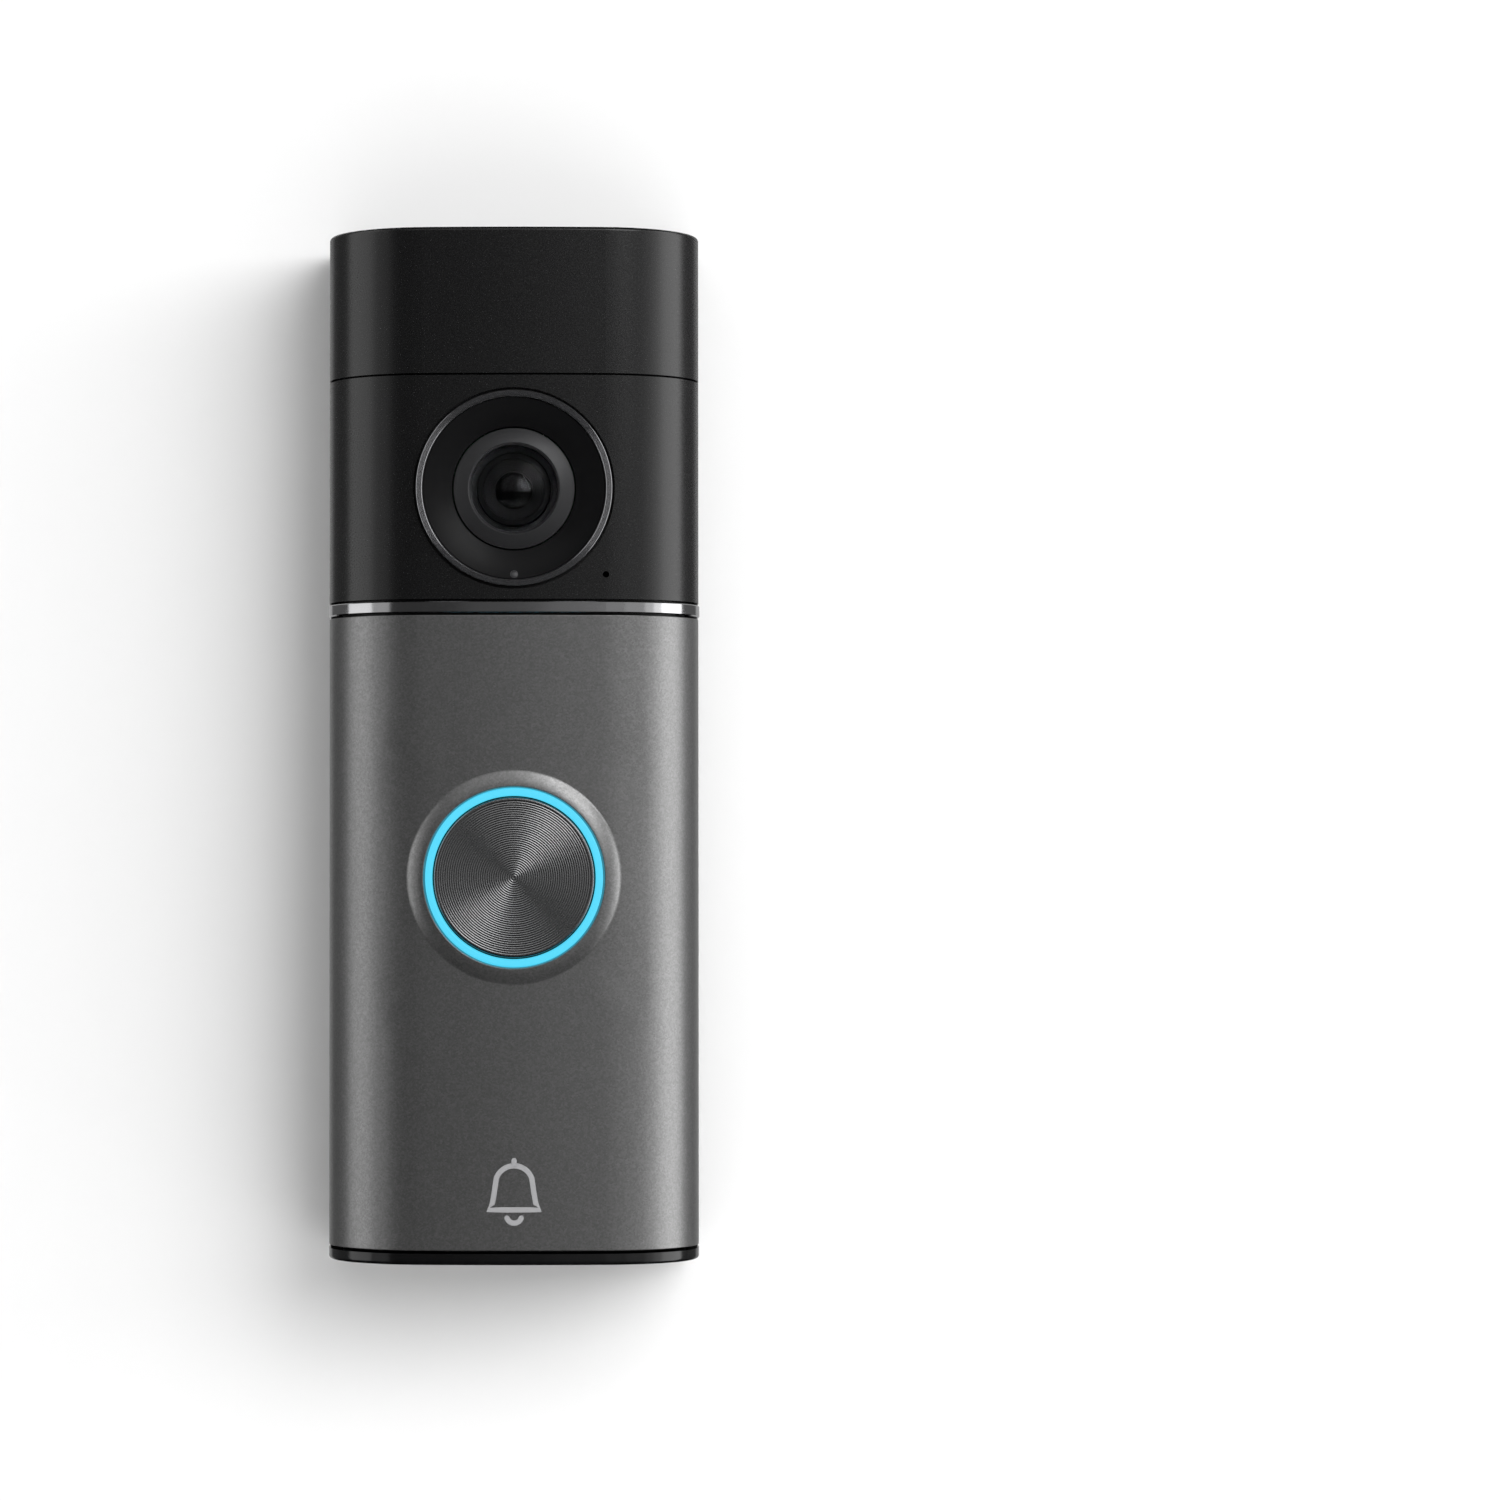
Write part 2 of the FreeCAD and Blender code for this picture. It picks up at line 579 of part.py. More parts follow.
def sensor_board():
    """Square board on the four posts behind the lens."""
    board = slab(0, CAM_Z, 17.0, 17.0, SENSOR_BOARD_Y, SENSOR_BOARD_Y + SMALL_BOARD_T)
    holes = [rod(x, z, 0.85, -16, -10) for x, z in sensor_posts()]
    return board.cut(group(holes))


def mic_boot():
    """Rubber boot that joins the microphone to its hole."""
    return ring(MIC_X, STATUS_Z, 1.4, 0.45, -24.1, -21.5)


def microphone():
    """Microphone capsule and the small board that carries it."""
    capsule = slab(MIC_X, STATUS_Z, 2.6, 2.2, -21.5, -20.6)
    return group([capsule, slab(MIC_X, STATUS_Z - 1.0, 6.0, 5.0, -20.6, -19.8)])


# ---------------------------------------------------------------- button
def button_cap():
    """Round metal cap with a skirt and a centre stem."""
    return turned(0, BUTTON_Z, [
        (0, BUTTON_FRONT_Y), (CAP_R - 0.15, BUTTON_FRONT_Y), (CAP_R, BUTTON_FRONT_Y + 0.15),
        (CAP_R, SKIRT_BACK_Y), (CAP_R - 0.9, SKIRT_BACK_Y), (CAP_R - 0.9, CROWN_BACK_Y),
        (STEM_R, CROWN_BACK_Y), (STEM_R, STEM_BACK_Y), (0, STEM_BACK_Y)])


def switch_stem():
    """Plunger of the tactile switch, which the cap's stem pushes."""
    return rod(0, BUTTON_Z, 1.52, STEM_BACK_Y, -21.7)


def light_ring():
    """Translucent ring that carries the light forward round the button."""
    lip = 0.05
    flange_front, flange_back = LIGHT_FLANGE_Y
    return turned(0, BUTTON_Z, [
        (LIGHT_BORE_R, LIGHT_FRONT_Y + lip), (LIGHT_BORE_R + lip, LIGHT_FRONT_Y),
        (LIGHT_R - lip, LIGHT_FRONT_Y), (LIGHT_R, LIGHT_FRONT_Y + lip), (LIGHT_R, flange_front),
        (LIGHT_FLANGE_R, flange_front), (LIGHT_FLANGE_R, flange_back), (LIGHT_R, flange_back),
        (LIGHT_R, -21.5), (LIGHT_BORE_R, -21.5)])


def light_ring_seal():
    """Seal in front of the light ring's flange."""
    return ring(0, BUTTON_Z, LIGHT_FLANGE_R - 0.1, 11.45, -24.05, LIGHT_FLANGE_Y[0] - 0.05)


def button_guide():
    """Cup that guides the cap's stem over the switch."""
    bore_r = STEM_R + 0.06
    roof_back = GUIDE_FRONT_Y + 1.2
    return turned(0, BUTTON_Z, [
        (bore_r, GUIDE_FRONT_Y), (GUIDE_R, GUIDE_FRONT_Y), (GUIDE_R, BUTTON_BOARD_Y),
        (GUIDE_R - 0.9, BUTTON_BOARD_Y), (GUIDE_R - 0.9, roof_back), (bore_r, roof_back)])


def button_board():
    """Round board with two ears, under the button."""
    back = BUTTON_BOARD_Y + SMALL_BOARD_T
    board = fuse([
        rod(0, BUTTON_Z, 12.8, BUTTON_BOARD_Y, back), slab(0, BUTTON_Z, 35.0, 4.6, BUTTON_BOARD_Y, back)])
    return board.cut(group([rod(sx * BUTTON_SCREW_X, BUTTON_Z, 0.95, -25, -15) for sx in (-1, 1)]))


def ring_leds():
    """Twelve lights under the light ring."""
    leds = []
    for step in range(12):
        dx, dz = polar(step * 30 + 15, 10.75)
        led = slab(0, 0, 0.8, 1.6, BUTTON_BOARD_Y - 0.7, BUTTON_BOARD_Y)
        led.rotate(V(0, 0, 0), V(0, -1, 0), step * 30 + 15)
        led.translate(V(dx, 0, BUTTON_Z + dz))
        leds.append(led)
    return group(leds)


def tact_switch():
    """Tactile switch body with a bore for its plunger."""
    body = slab(0, BUTTON_Z, 6.0, 6.0, BUTTON_BOARD_Y - 1.6, BUTTON_BOARD_Y)
    return body.cut(rod(0, BUTTON_Z, 1.58, -25, BUTTON_BOARD_Y - 0.3))


def button_ribbon():
    """Flat cable from the back of the button board to its socket on the main board."""
    half = 3.0
    back = BUTTON_BOARD_Y + SMALL_BOARD_T
    return fuse([
        box(-half, half, back, back + 0.2, -9.0, -3.0),
        box(-half, half, back, -12.4, -3.2, -3.0),
        box(-half, half, -12.6, -12.4, -3.2, -1.0)])


# ---------------------------------------------------------------- boards
def board(z0, z1):
    """Circuit board between two heights, with its screw holes."""
    plate = box(-BOARD_HALF_W, BOARD_HALF_W, BOARD_Y - BOARD_T, BOARD_Y, z0, z1)
    holes = [rod(x, z, 1.1, -15, -5) for x, z in BOARD_SCREW_AT if z0 < z < z1]
    return plate.cut(group(holes))


def main_board():
    """Main board behind the camera."""
    return board(*MAIN_BOARD_Z)


def power_board():
    """Power board behind the button, with a hole for the lower screw tunnel."""
    return board(*POWER_BOARD_Z).cut(rod(0, PLATE_SCREW_Z[1], TUNNEL_R + 0.3, -15, -5))


def board_screws():
    """Eight screws that hold the two boards to the rear housing, and two in the button board."""
    screws = [screw(x, z, 1, BOARD_Y - BOARD_T, BOARD_SCREW, 3.7) for x, z in BOARD_SCREW_AT]
    seat = BUTTON_BOARD_Y + SMALL_BOARD_T
    for sx in (-1, 1):
        screws.append(screw(sx * BUTTON_SCREW_X, BUTTON_Z, -1, seat, EAR_SCREW, 2.5))
    return group(screws)


def shield_can():
    """Metal can over the radio."""
    can = slab(0, 10.0, 16.0, 12.0, BOARD_Y - BOARD_T - 2.2, BOARD_Y - BOARD_T)
    return can.cut(slab(0, 10.0, 15.4, 11.4, BOARD_Y - BOARD_T - 1.9, BOARD_Y))


def main_board_parts():
    """Chips on the main board, the ribbon's socket and the connector to the sensor board."""
    front = BOARD_Y - BOARD_T
    chips = [
        (-12.2, 12.0, 6.0, 6.0), (12.2, 14.0, 5.0, 7.0), (-12.5, 30.0, 6.4, 9.0), (12.5, 33.0, 6.0, 8.0)]
    parts = [slab(x, z, w, h, front - 1.2, front) for x, z, w, h in chips]
    parts.append(slab(0, 0.5, 7.4, 3.0, front - 1.6, front))
    parts.append(slab(0, CAM_Z, 8.0, 2.4, SENSOR_BOARD_Y + SMALL_BOARD_T, front))
    return group(parts)


def power_components():
    """Transformer, two capacitors and a relay on the power board."""
    front = BOARD_Y - BOARD_T
    return group([
        slab(5.5, -17.0, 12.0, 11.0, front - 6.8, front), slab(8.0, -27.0, 9.0, 6.0, front - 6.0, front),
        rod(-8.0, -14.5, 3.5, front - 7.0, front), rod(-8.0, -24.0, 3.5, front - 7.0, front)])


def antenna_board():
    """Radio antenna strip behind the bay's floor."""
    return box(-12.0, 4.5, -15.55, -14.75, 57.2, 61.2)


def chassis_screws():
    """Four screws that join the rear housing to the chassis."""
    return group([screw(x, z, -1, -6.6, CHASSIS_SCREW, 7.9) for x, z in CHASSIS_SCREW_AT])


# ---------------------------------------------------------------- terminals
def terminal_heights():
    """Heights of the two wire terminals."""
    return [TERMINAL_Z + s * TERMINAL_PITCH / 2 for s in (-1, 1)]


def terminal_block():
    """Block in the rear wall that carries the wire terminals, open to the wall side."""
    body = fuse([
        rounded_slab(0, TERMINAL_Z, TERMINAL_W, TERMINAL_H, -8.5, TERMINAL_BACK_Y, 0.8),
        slab(0, TERMINAL_Z, 16.0, 28.6, -8.5, REAR_WALL_Y - 0.05)]
        + [rod(0, z, 3.0, -10.0, -8.0) for z in terminal_heights()])
    holes = []
    for z in terminal_heights():
        holes.append(slab(0, z, 10.4, 9.4, -7.0, 0))
        holes.append(rod(0, z, 1.56, -11, 0))
    return body.cut(group(holes))


def terminal_plates():
    """Brass plates under the terminal screws."""
    plates = [slab(0, z, 10.0, 9.0, -7.0, -6.4).cut(rod(0, z, 1.7, -8, -6)) for z in terminal_heights()]
    return group(plates)


def terminal_screws():
    """Two terminal screws that face the wall."""
    return group([screw(0, z, -1, -6.4, TERMINAL_SCREW, 3.4) for z in terminal_heights()])


# ---------------------------------------------------------------- speaker
def speaker_frame():
    """Speaker basket, face down."""
    z = SPEAKER_FACE_Z
    body = racetrack(SPEAKER_L, SPEAKER_W, z, z + 3.9)
    body = body.cut(racetrack(21.0, 10.0, z - 1, z + 2.9))
    return body.cut(Part.makeCylinder(3.8, 10, V(0, SPEAKER_Y, z)))


def speaker_magnet():
    """Magnet cup with a centre pole."""
    z = SPEAKER_FACE_Z + 3.9
    cup = Part.makeCylinder(5.0, 4.5, V(0, SPEAKER_Y, z))
    gap = Part.makeCylinder(3.9, 3.5, V(0, SPEAKER_Y, z))
    pole = Part.makeCylinder(2.9, 3.5, V(0, SPEAKER_Y, z))
    return cup.cut(gap.cut(pole))


def speaker_cone():
    """Diaphragm with its voice coil."""
    z = SPEAKER_FACE_Z + 0.8
    coil = Part.makeCylinder(3.6, 4.6, V(0, SPEAKER_Y, z))
    coil = coil.cut(Part.makeCylinder(3.15, 8, V(0, SPEAKER_Y, z + 0.5)))
    return fuse([racetrack(CONE_L, CONE_W, z, z + 0.5), coil])


def speaker_gasket():
    """Foam gasket between the speaker and the chassis floor."""
    z0 = CHASSIS_BOTTOM_Z + CHASSIS_T + 0.05
    z1 = SPEAKER_FACE_Z - 0.05
    return racetrack(SPEAKER_L, SPEAKER_W, z0, z1).cut(racetrack(21.0, 10.0, z0 - 1, z1 + 1))


# ---------------------------------------------------------------- setup button
def setup_button():
    """Small button in the bay floor under the top cap."""
    return fuse([
        rod(SETUP_X, SETUP_Z, SETUP_R, -18.2, -15.0), rod(SETUP_X, SETUP_Z, 2.5, -15.4, -14.9)])


def setup_switch():
    """Switch behind the setup button, and the small board that carries it."""
    body = slab(SETUP_X, SETUP_Z, 4.0, 4.0, -14.3, -12.7)
    return group([body, slab(SETUP_X + 0.2, SETUP_Z, 7.0, 7.0, -12.7, -11.9)])


# ---------------------------------------------------------------- wall plate
def plate_ribs():
    """Centre rib, cross ribs and the two short ribs by the pull tabs."""
    y1 = PLATE_FLOOR_Y + 0.3
    half_w = PLATE_W / 2 - RIM_T - 0.9
    half_h = PLATE_H / 2 - RIM_T
    ribs = [box(-RIB_T / 2, RIB_T / 2, RIB_FRONT_Y, y1, -half_h, half_h)]
    for z in (51.8, 41.9, 29.4, 6.75, -23.4, -35.9):
        ribs.append(box(-half_w, half_w, RIB_FRONT_Y, y1, z - RIB_T / 2, z + RIB_T / 2))
    ribs.append(box(-half_w, half_w, PLATE_FLOOR_Y - 0.8, y1, -48.55, -47.95))
    for sx in (-1, 1):
        ribs.append(box(sx * 7.3 - 0.3, sx * 7.3 + 0.3, PLATE_FLOOR_Y - 1.2, y1, -half_h, -48.0))
    for z in (55.6, 45.6, 37.6, 34.2):
        ribs.append(slab(0, z, 1.2, 0.8, RIB_FRONT_Y, y1))
    return ribs


def up_arrow():
    """Raised arrow on the floor that points up."""
    y0 = PLATE_FLOOR_Y - 0.2
    tip = [V(4.4, y0, 36.0), V(7.6, y0, 36.0), V(6.0, y0, 38.2), V(4.4, y0, 36.0)]
    head = Part.Face(Part.makePolygon(tip)).extrude(V(0, 0.4, 0))
    return [head, box(5.6, 6.4, y0, y0 + 0.4, 33.4, 36.4)]


def tab_lugs():
    """Small lugs that reach over the edges of the pull tabs."""
    lugs = []
    for sx in (-1, 1):
        for side in (-1, 1):
            edge = sx * TAB_X + side * TAB_W / 2
            post = sorted((edge + side * 0.15, edge + side * 0.85))
            hook = sorted((edge - side * 0.6, edge + side * 0.85))
            lugs.append(box(*post, -3.6, PLATE_FLOOR_Y + 0.3, -57.0, -54.4))
            lugs.append(box(*hook, -3.6, -3.15, -57.0, -54.4))
    return lugs


def mounting_plate():
    """Ribbed wall plate: rim with an inner step, floor, bosses, wire window and tab notches."""
    front = rounded_slab(0, 0, PLATE_W, PLATE_H, PLATE_FRONT_Y, PLATE_STEP_Y, 1.0)
    rear = rounded_slab(0, 0, PLATE_W - 1.8, PLATE_H - 1.8, PLATE_STEP_Y, -STRIP_T, 0.8)
    inner_w = PLATE_W - 2 * RIM_T
    inner_h = PLATE_H - 2 * RIM_T
    tray = front.fuse(rear).removeSplitter()
    tray = tray.cut(slab(0, 0, inner_w + 1.2, inner_h + 1.2, PLATE_FRONT_Y - 1, PLATE_FRONT_Y + 0.6))
    tray = tray.cut(slab(0, 0, inner_w - 0.4, inner_h - 0.4, PLATE_FRONT_Y - 1, PLATE_FLOOR_Y))
    frame_w = WINDOW_W + 2 * WINDOW_FRAME_T
    frame_h = WINDOW_H + 2 * WINDOW_FRAME_T
    floor_back = PLATE_FLOOR_Y + 0.3
    adds = [rounded_slab(0, WINDOW_Z, frame_w, frame_h, PLATE_FRONT_Y + 0.1, floor_back, 2.3)]
    adds += [rod(0, z, BOSS_R, BOSS_FRONT_Y, floor_back) for z in INSERT_Z]
    adds += [slab(0, -13.3, 2 * BOSS_R, 2.4, BOSS_FRONT_Y, floor_back)]
    adds += plate_ribs() + up_arrow() + tab_lugs()
    tray = fuse([tray] + adds)
    holes = [rounded_slab(0, WINDOW_Z, WINDOW_W, WINDOW_H, -8, 2, 1.3)]
    holes += [rod(0, z, INSERT_R, -8, 2) for z in INSERT_Z]
    for sx in (-1, 1):
        holes.append(slab(sx * TAB_X, TAB_FOLD_Z - 1.9, TAB_W + 0.4, 4.0, -8, 2))
        holes.append(slab(sx * TAB_X, TAB_FOLD_Z - 1.0, TAB_W + 0.4, 4.0, -8, PLATE_FLOOR_Y - 0.3))
    return tray.cut(group(holes))


def threaded_inserts():
    """Six metal inserts with through bores, seated in the bosses."""
    inserts = []
    for z in INSERT_Z:
        inserts.append(turned(0, z, [
            (INSERT_BORE_R + 0.2, BOSS_FRONT_Y - 0.1), (INSERT_R, BOSS_FRONT_Y - 0.1), (INSERT_R, -STRIP_T),
            (INSERT_BORE_R, -STRIP_T), (INSERT_BORE_R, BOSS_FRONT_Y + 0.1)]))
    return group(inserts)


def adhesive_strips():
    """Two foam strips on the wall side, each with a tongue folded round the plate's lower edge."""
    strips = []
    for sx in (-1, 1):
        x0, x1 = sorted((sx * STRIP_X[0], sx * STRIP_X[1]))
        main = box(x0, x1, -STRIP_T, 0, -60.9, 60.8)
        tx = sx * TAB_X
        tongue = box(tx - TAB_W / 2, tx + TAB_W / 2, -3.0, -0.05, TAB_FOLD_Z - 1.1, TAB_FOLD_Z)
        web = box(tx - TAB_W / 2, tx + TAB_W / 2, -STRIP_T, -0.05, TAB_FOLD_Z - 0.5, -60.5)
        strips.append(fuse([main, tongue, web]))
    return group(strips)


def pull_tabs():
    """Two white pull tabs that lie in the front of the plate."""
    return group([
        box(sx * TAB_X - TAB_W / 2, sx * TAB_X + TAB_W / 2, -3.0, -2.65, TAB_FOLD_Z, TAB_TOP_Z)
        for sx in (-1, 1)])


def plate_screws():
    """Two screws that hold the doorbell to the wall plate's inserts."""
    return group([screw(0, z, 1, PLATE_SCREW_SEAT_Y, PLATE_SCREW, 7.2) for z in PLATE_SCREW_Z])


# ---------------------------------------------------------------- export
PIECES = [
    top_cap, head_shell, chrome_band, faceplate, base_cap, rear_housing, housing_gasket, chassis,
    tunnel_seals, camera_ring, ir_window, lens_bezel, lens_dome, lens_barrel, lens_elements,
    camera_housing, camera_gasket, camera_screws, ir_led_board, ir_leds, status_light, filter_frame,
    filter_slide, filter_glass, image_sensor, sensor_board, mic_boot, microphone, button_cap,
    switch_stem, light_ring, light_ring_seal, button_guide, button_board, ring_leds, tact_switch,
    button_ribbon, main_board, main_board_parts, shield_can, power_board, power_components,
    board_screws, antenna_board, chassis_screws, terminal_block, terminal_plates, terminal_screws,
    speaker_frame, speaker_magnet, speaker_cone, speaker_gasket, setup_button, setup_switch,
    mounting_plate, threaded_inserts, adhesive_strips, pull_tabs, plate_screws,
]


def main():
    os.makedirs("parts", exist_ok=True)
    for piece in PIECES:
        shape = piece()
        if not shape.isValid() or not shape.Solids:
            raise ValueError(piece.__name__ + " isn't a valid solid")
        shape.exportStep(os.path.join("parts", piece.__name__ + ".step"))
        print(piece.__name__, len(shape.Solids), round(shape.Volume, 1))


main()
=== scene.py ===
"""Looks of the video doorbell: finishes for the CAD pieces, finer pieces for plain ones, a studio."""
import json
import math

import bmesh
import bpy
from mathutils import Matrix, Vector


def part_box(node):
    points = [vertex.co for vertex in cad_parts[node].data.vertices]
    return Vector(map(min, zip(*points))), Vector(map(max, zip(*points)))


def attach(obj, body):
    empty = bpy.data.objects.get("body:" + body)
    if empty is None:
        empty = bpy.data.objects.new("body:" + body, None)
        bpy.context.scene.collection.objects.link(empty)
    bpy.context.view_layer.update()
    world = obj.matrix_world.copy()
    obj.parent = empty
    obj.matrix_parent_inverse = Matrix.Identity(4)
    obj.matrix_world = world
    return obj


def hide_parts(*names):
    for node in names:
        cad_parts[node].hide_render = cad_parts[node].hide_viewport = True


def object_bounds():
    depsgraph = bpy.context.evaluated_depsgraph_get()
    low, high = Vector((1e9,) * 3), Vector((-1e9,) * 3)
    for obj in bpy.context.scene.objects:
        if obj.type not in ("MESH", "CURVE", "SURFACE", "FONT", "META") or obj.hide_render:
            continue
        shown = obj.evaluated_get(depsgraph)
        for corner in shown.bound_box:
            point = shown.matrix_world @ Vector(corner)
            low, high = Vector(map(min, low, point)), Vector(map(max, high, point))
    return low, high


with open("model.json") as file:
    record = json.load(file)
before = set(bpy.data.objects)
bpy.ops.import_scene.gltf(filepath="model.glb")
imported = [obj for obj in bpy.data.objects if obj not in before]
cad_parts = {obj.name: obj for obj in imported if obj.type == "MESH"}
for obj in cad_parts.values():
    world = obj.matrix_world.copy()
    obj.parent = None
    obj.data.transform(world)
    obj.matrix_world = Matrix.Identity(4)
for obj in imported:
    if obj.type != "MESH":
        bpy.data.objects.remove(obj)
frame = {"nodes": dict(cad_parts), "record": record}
cad_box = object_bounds()

MM = 0.001
MOTTLE_SCALE = 60.0     # cycles per metre of the slow change of tone in every finish


# ---------------------------------------------------------------- node helpers
def new_material(name):
    """Empty node material with a Principled shader: (material, nodes, links, shader)."""
    made = bpy.data.materials.new(name)
    made.use_nodes = True
    nodes, links = made.node_tree.nodes, made.node_tree.links
    return made, nodes, links, nodes["Principled BSDF"]


def add_node(nodes, kind, **values):
    """Node of a kind, with its plain properties and its named input values set."""
    node = nodes.new("ShaderNode" + kind)
    for key, value in values.items():
        if hasattr(node, key):
            setattr(node, key, value)
        else:
            node.inputs[key.replace("_", " ")].default_value = value
    return node


def grey(value):
    """Neutral colour with full alpha."""
    return (value, value, value, 1.0)


def shade(colour, factor):
    """A colour made darker or lighter, with full alpha."""
    return tuple(min(1.0, c * factor) for c in colour[:3]) + (1.0,)


def object_point(nodes):
    """Socket that gives the shading point in metres in the part's frame."""
    return nodes.new("ShaderNodeTexCoord").outputs["Object"]


def noise(nodes, links, scale, detail=2.0):
    """Noise socket at a scale in cycles per metre."""
    texture = add_node(nodes, "TexNoise", Scale=scale, Detail=detail)
    links.new(object_point(nodes), texture.inputs["Vector"])
    return texture.outputs["Fac"]


def spread(nodes, links, source, low, high, start=0.3, end=0.7):
    """Socket that maps the source's range from start to end onto low to high."""
    node = nodes.new("ShaderNodeMapRange")
    for key, value in (("From Min", start), ("From Max", end), ("To Min", low), ("To Max", high)):
        node.inputs[key].default_value = value
    links.new(source, node.inputs["Value"])
    return node.outputs["Result"]


def blend_colours(nodes, links, factor, first, second):
    """Colour socket between two colours or colour sockets."""
    node = nodes.new("ShaderNodeMix")
    node.data_type = "RGBA"
    links.new(factor, node.inputs["Factor"])
    for value, socket in ((first, node.inputs[6]), (second, node.inputs[7])):
        if isinstance(value, tuple):
            socket.default_value = value
        else:
            links.new(value, socket)
    return node.outputs[2]


def add_bump(nodes, links, shader, height, depth):
    """Bump on the shader from a height socket; depth is in metres."""
    bump = add_node(nodes, "Bump", Distance=depth, Strength=1.0)
    links.new(height, bump.inputs["Height"])
    links.new(bump.outputs["Normal"], shader.inputs["Normal"])


def finish(name, colour, rough, metal=0.0, grain=2400.0, mottle=0.12, rough_step=0.05, depth=4e-6, **fixed):
    """Moulded, cast or plated finish: fine grain in colour, roughness and relief over a slow mottle."""
    made, nodes, links, shader = new_material(name)
    dark, light = shade(colour, 1 - mottle), shade(colour, 1 + mottle)
    fine = noise(nodes, links, grain, 3.0)
    slow = noise(nodes, links, MOTTLE_SCALE)
    tone = blend_colours(nodes, links, fine, dark, light)
    deep = blend_colours(nodes, links, spread(nodes, links, slow, 0.0, 0.5), tone, dark)
    links.new(deep, shader.inputs["Base Color"])
    roughness = spread(nodes, links, fine, rough - rough_step, rough + rough_step)
    links.new(roughness, shader.inputs["Roughness"])
    add_bump(nodes, links, shader, fine, depth)
    shader.inputs["Metallic"].default_value = metal
    for key, value in fixed.items():
        shader.inputs[key.replace("_", " ")].default_value = value
    return made


# ---------------------------------------------------------------- finishes, one for each material slot
def black_shell():
    """Satin black moulding with a very fine grain."""
    return finish("black_shell", (0.0042, 0.0042, 0.0044), 0.26, grain=5200.0, depth=4e-7)


def faceplate_paint():
    """Dark grey metallic paint: flakes of different tone and roughness under a satin surface with a faint
    cloudy relief.
    """
    made, nodes, links, shader = new_material("faceplate_paint")
    flakes = add_node(nodes, "TexVoronoi", Scale=5200.0)
    links.new(object_point(nodes), flakes.inputs["Vector"])
    tone = nodes.new("ShaderNodeSeparateColor")
    links.new(flakes.outputs["Color"], tone.inputs["Color"])
    cloud = noise(nodes, links, 1500.0, 3.0)
    base = blend_colours(nodes, links, tone.outputs[0], grey(0.19), grey(0.27))
    base = blend_colours(nodes, links, spread(nodes, links, cloud, 0.0, 0.45), base, grey(0.2))
    links.new(base, shader.inputs["Base Color"])
    links.new(spread(nodes, links, tone.outputs[1], 0.3, 0.38, 0.0, 1.0), shader.inputs["Roughness"])
    add_bump(nodes, links, shader, cloud, 4e-6)
    shader.inputs["Metallic"].default_value = 0.88
    return made


FINISHES = {
    "black_shell": black_shell(),
    "faceplate_paint": faceplate_paint(),
    "gloss_shell": finish("gloss_shell", (0.003, 0.003, 0.0032), 0.15, grain=5200.0, rough_step=0.02,
                          depth=2e-7),
    "band_chrome": finish("band_chrome", (0.52, 0.52, 0.53), 0.13, 1.0, 3000.0, 0.04, 0.02, 5e-7),
    "black_plastic": finish("black_plastic", (0.014, 0.014, 0.0145), 0.46, grain=3800.0, depth=4e-6),
    "plate_plastic": finish("plate_plastic", (0.012, 0.012, 0.0125), 0.42, grain=3200.0, depth=5e-6),
    "ring_metal": finish("ring_metal", (0.3, 0.3, 0.31), 0.2, 0.95, 4000.0, 0.08, 0.04, 1e-6),
    "window_black": finish("window_black", (0.004, 0.004, 0.0043), 0.3, grain=900.0, rough_step=0.02,
                           depth=0.0, IOR=1.2),
    "bezel_grey": finish("bezel_grey", (0.024, 0.024, 0.0255), 0.38, 0.3, 4500.0, 0.1, 0.05, 2e-6),
    # near-black tint on the lens glass: painted shade, standing in for the dark inside of the camera; its
    # surfaces still reflect
    "optical_glass": finish("optical_glass", (0.02, 0.022, 0.027), 0.01, rough_step=0.0, depth=0.0,
                            Transmission_Weight=1.0, IOR=1.27),
    "barrel_black": finish("barrel_black", (0.0015, 0.0015, 0.0017), 0.5, 0.0, 4000.0,
                           Specular_IOR_Level=0.15),
    "seal_rubber": finish("seal_rubber", (0.02, 0.02, 0.02), 0.7, grain=2600.0, depth=8e-6),
    "spun_metal": finish("spun_metal", (0.25, 0.25, 0.255), 0.28, 1.0, 4200.0, 0.05, 0.02, 0.0),
    "light_guide": finish("light_guide", (0.01, 0.06, 0.08), 0.35, depth=0.0,
                          Emission_Color=(0.085, 0.64, 0.88, 1.0), Emission_Strength=1.0),
    "board_green": finish("board_green", (0.01, 0.09, 0.035), 0.35, grain=1400.0),
    "component_black": finish("component_black", (0.02, 0.02, 0.021), 0.5),
    "led_white": finish("led_white", (0.75, 0.74, 0.66), 0.35),
    "steel": finish("steel", (0.55, 0.55, 0.56), 0.28, 1.0, 3500.0, 0.08, 0.06, 1e-6),
    "brass": finish("brass", (0.72, 0.5, 0.2), 0.3, 1.0, 3500.0, 0.1, 0.06, 1e-6),
    "flex_film": finish("flex_film", (0.5, 0.2, 0.04), 0.3),
    "foam_tape": finish("foam_tape", (0.75, 0.68, 0.2), 0.75, grain=1800.0, depth=2e-5),
    "tab_film": finish("tab_film", (0.82, 0.83, 0.84), 0.4, grain=1200.0),
    "cover_glass": finish("cover_glass", (0.7, 0.71, 0.73), 0.01, rough_step=0.0, depth=0.0,
                          Transmission_Weight=1.0, IOR=1.12),
    "clear_pipe": finish("clear_pipe", (0.03, 0.03, 0.032), 0.4, depth=0.0),
    "mark_metal": finish("mark_metal", (0.42, 0.42, 0.43), 0.36, 0.35, 4000.0, 0.06, 0.05, 1e-6),
    "arrow_ink": finish("arrow_ink", (0.01, 0.24, 0.6), 0.45, grain=3000.0),
}


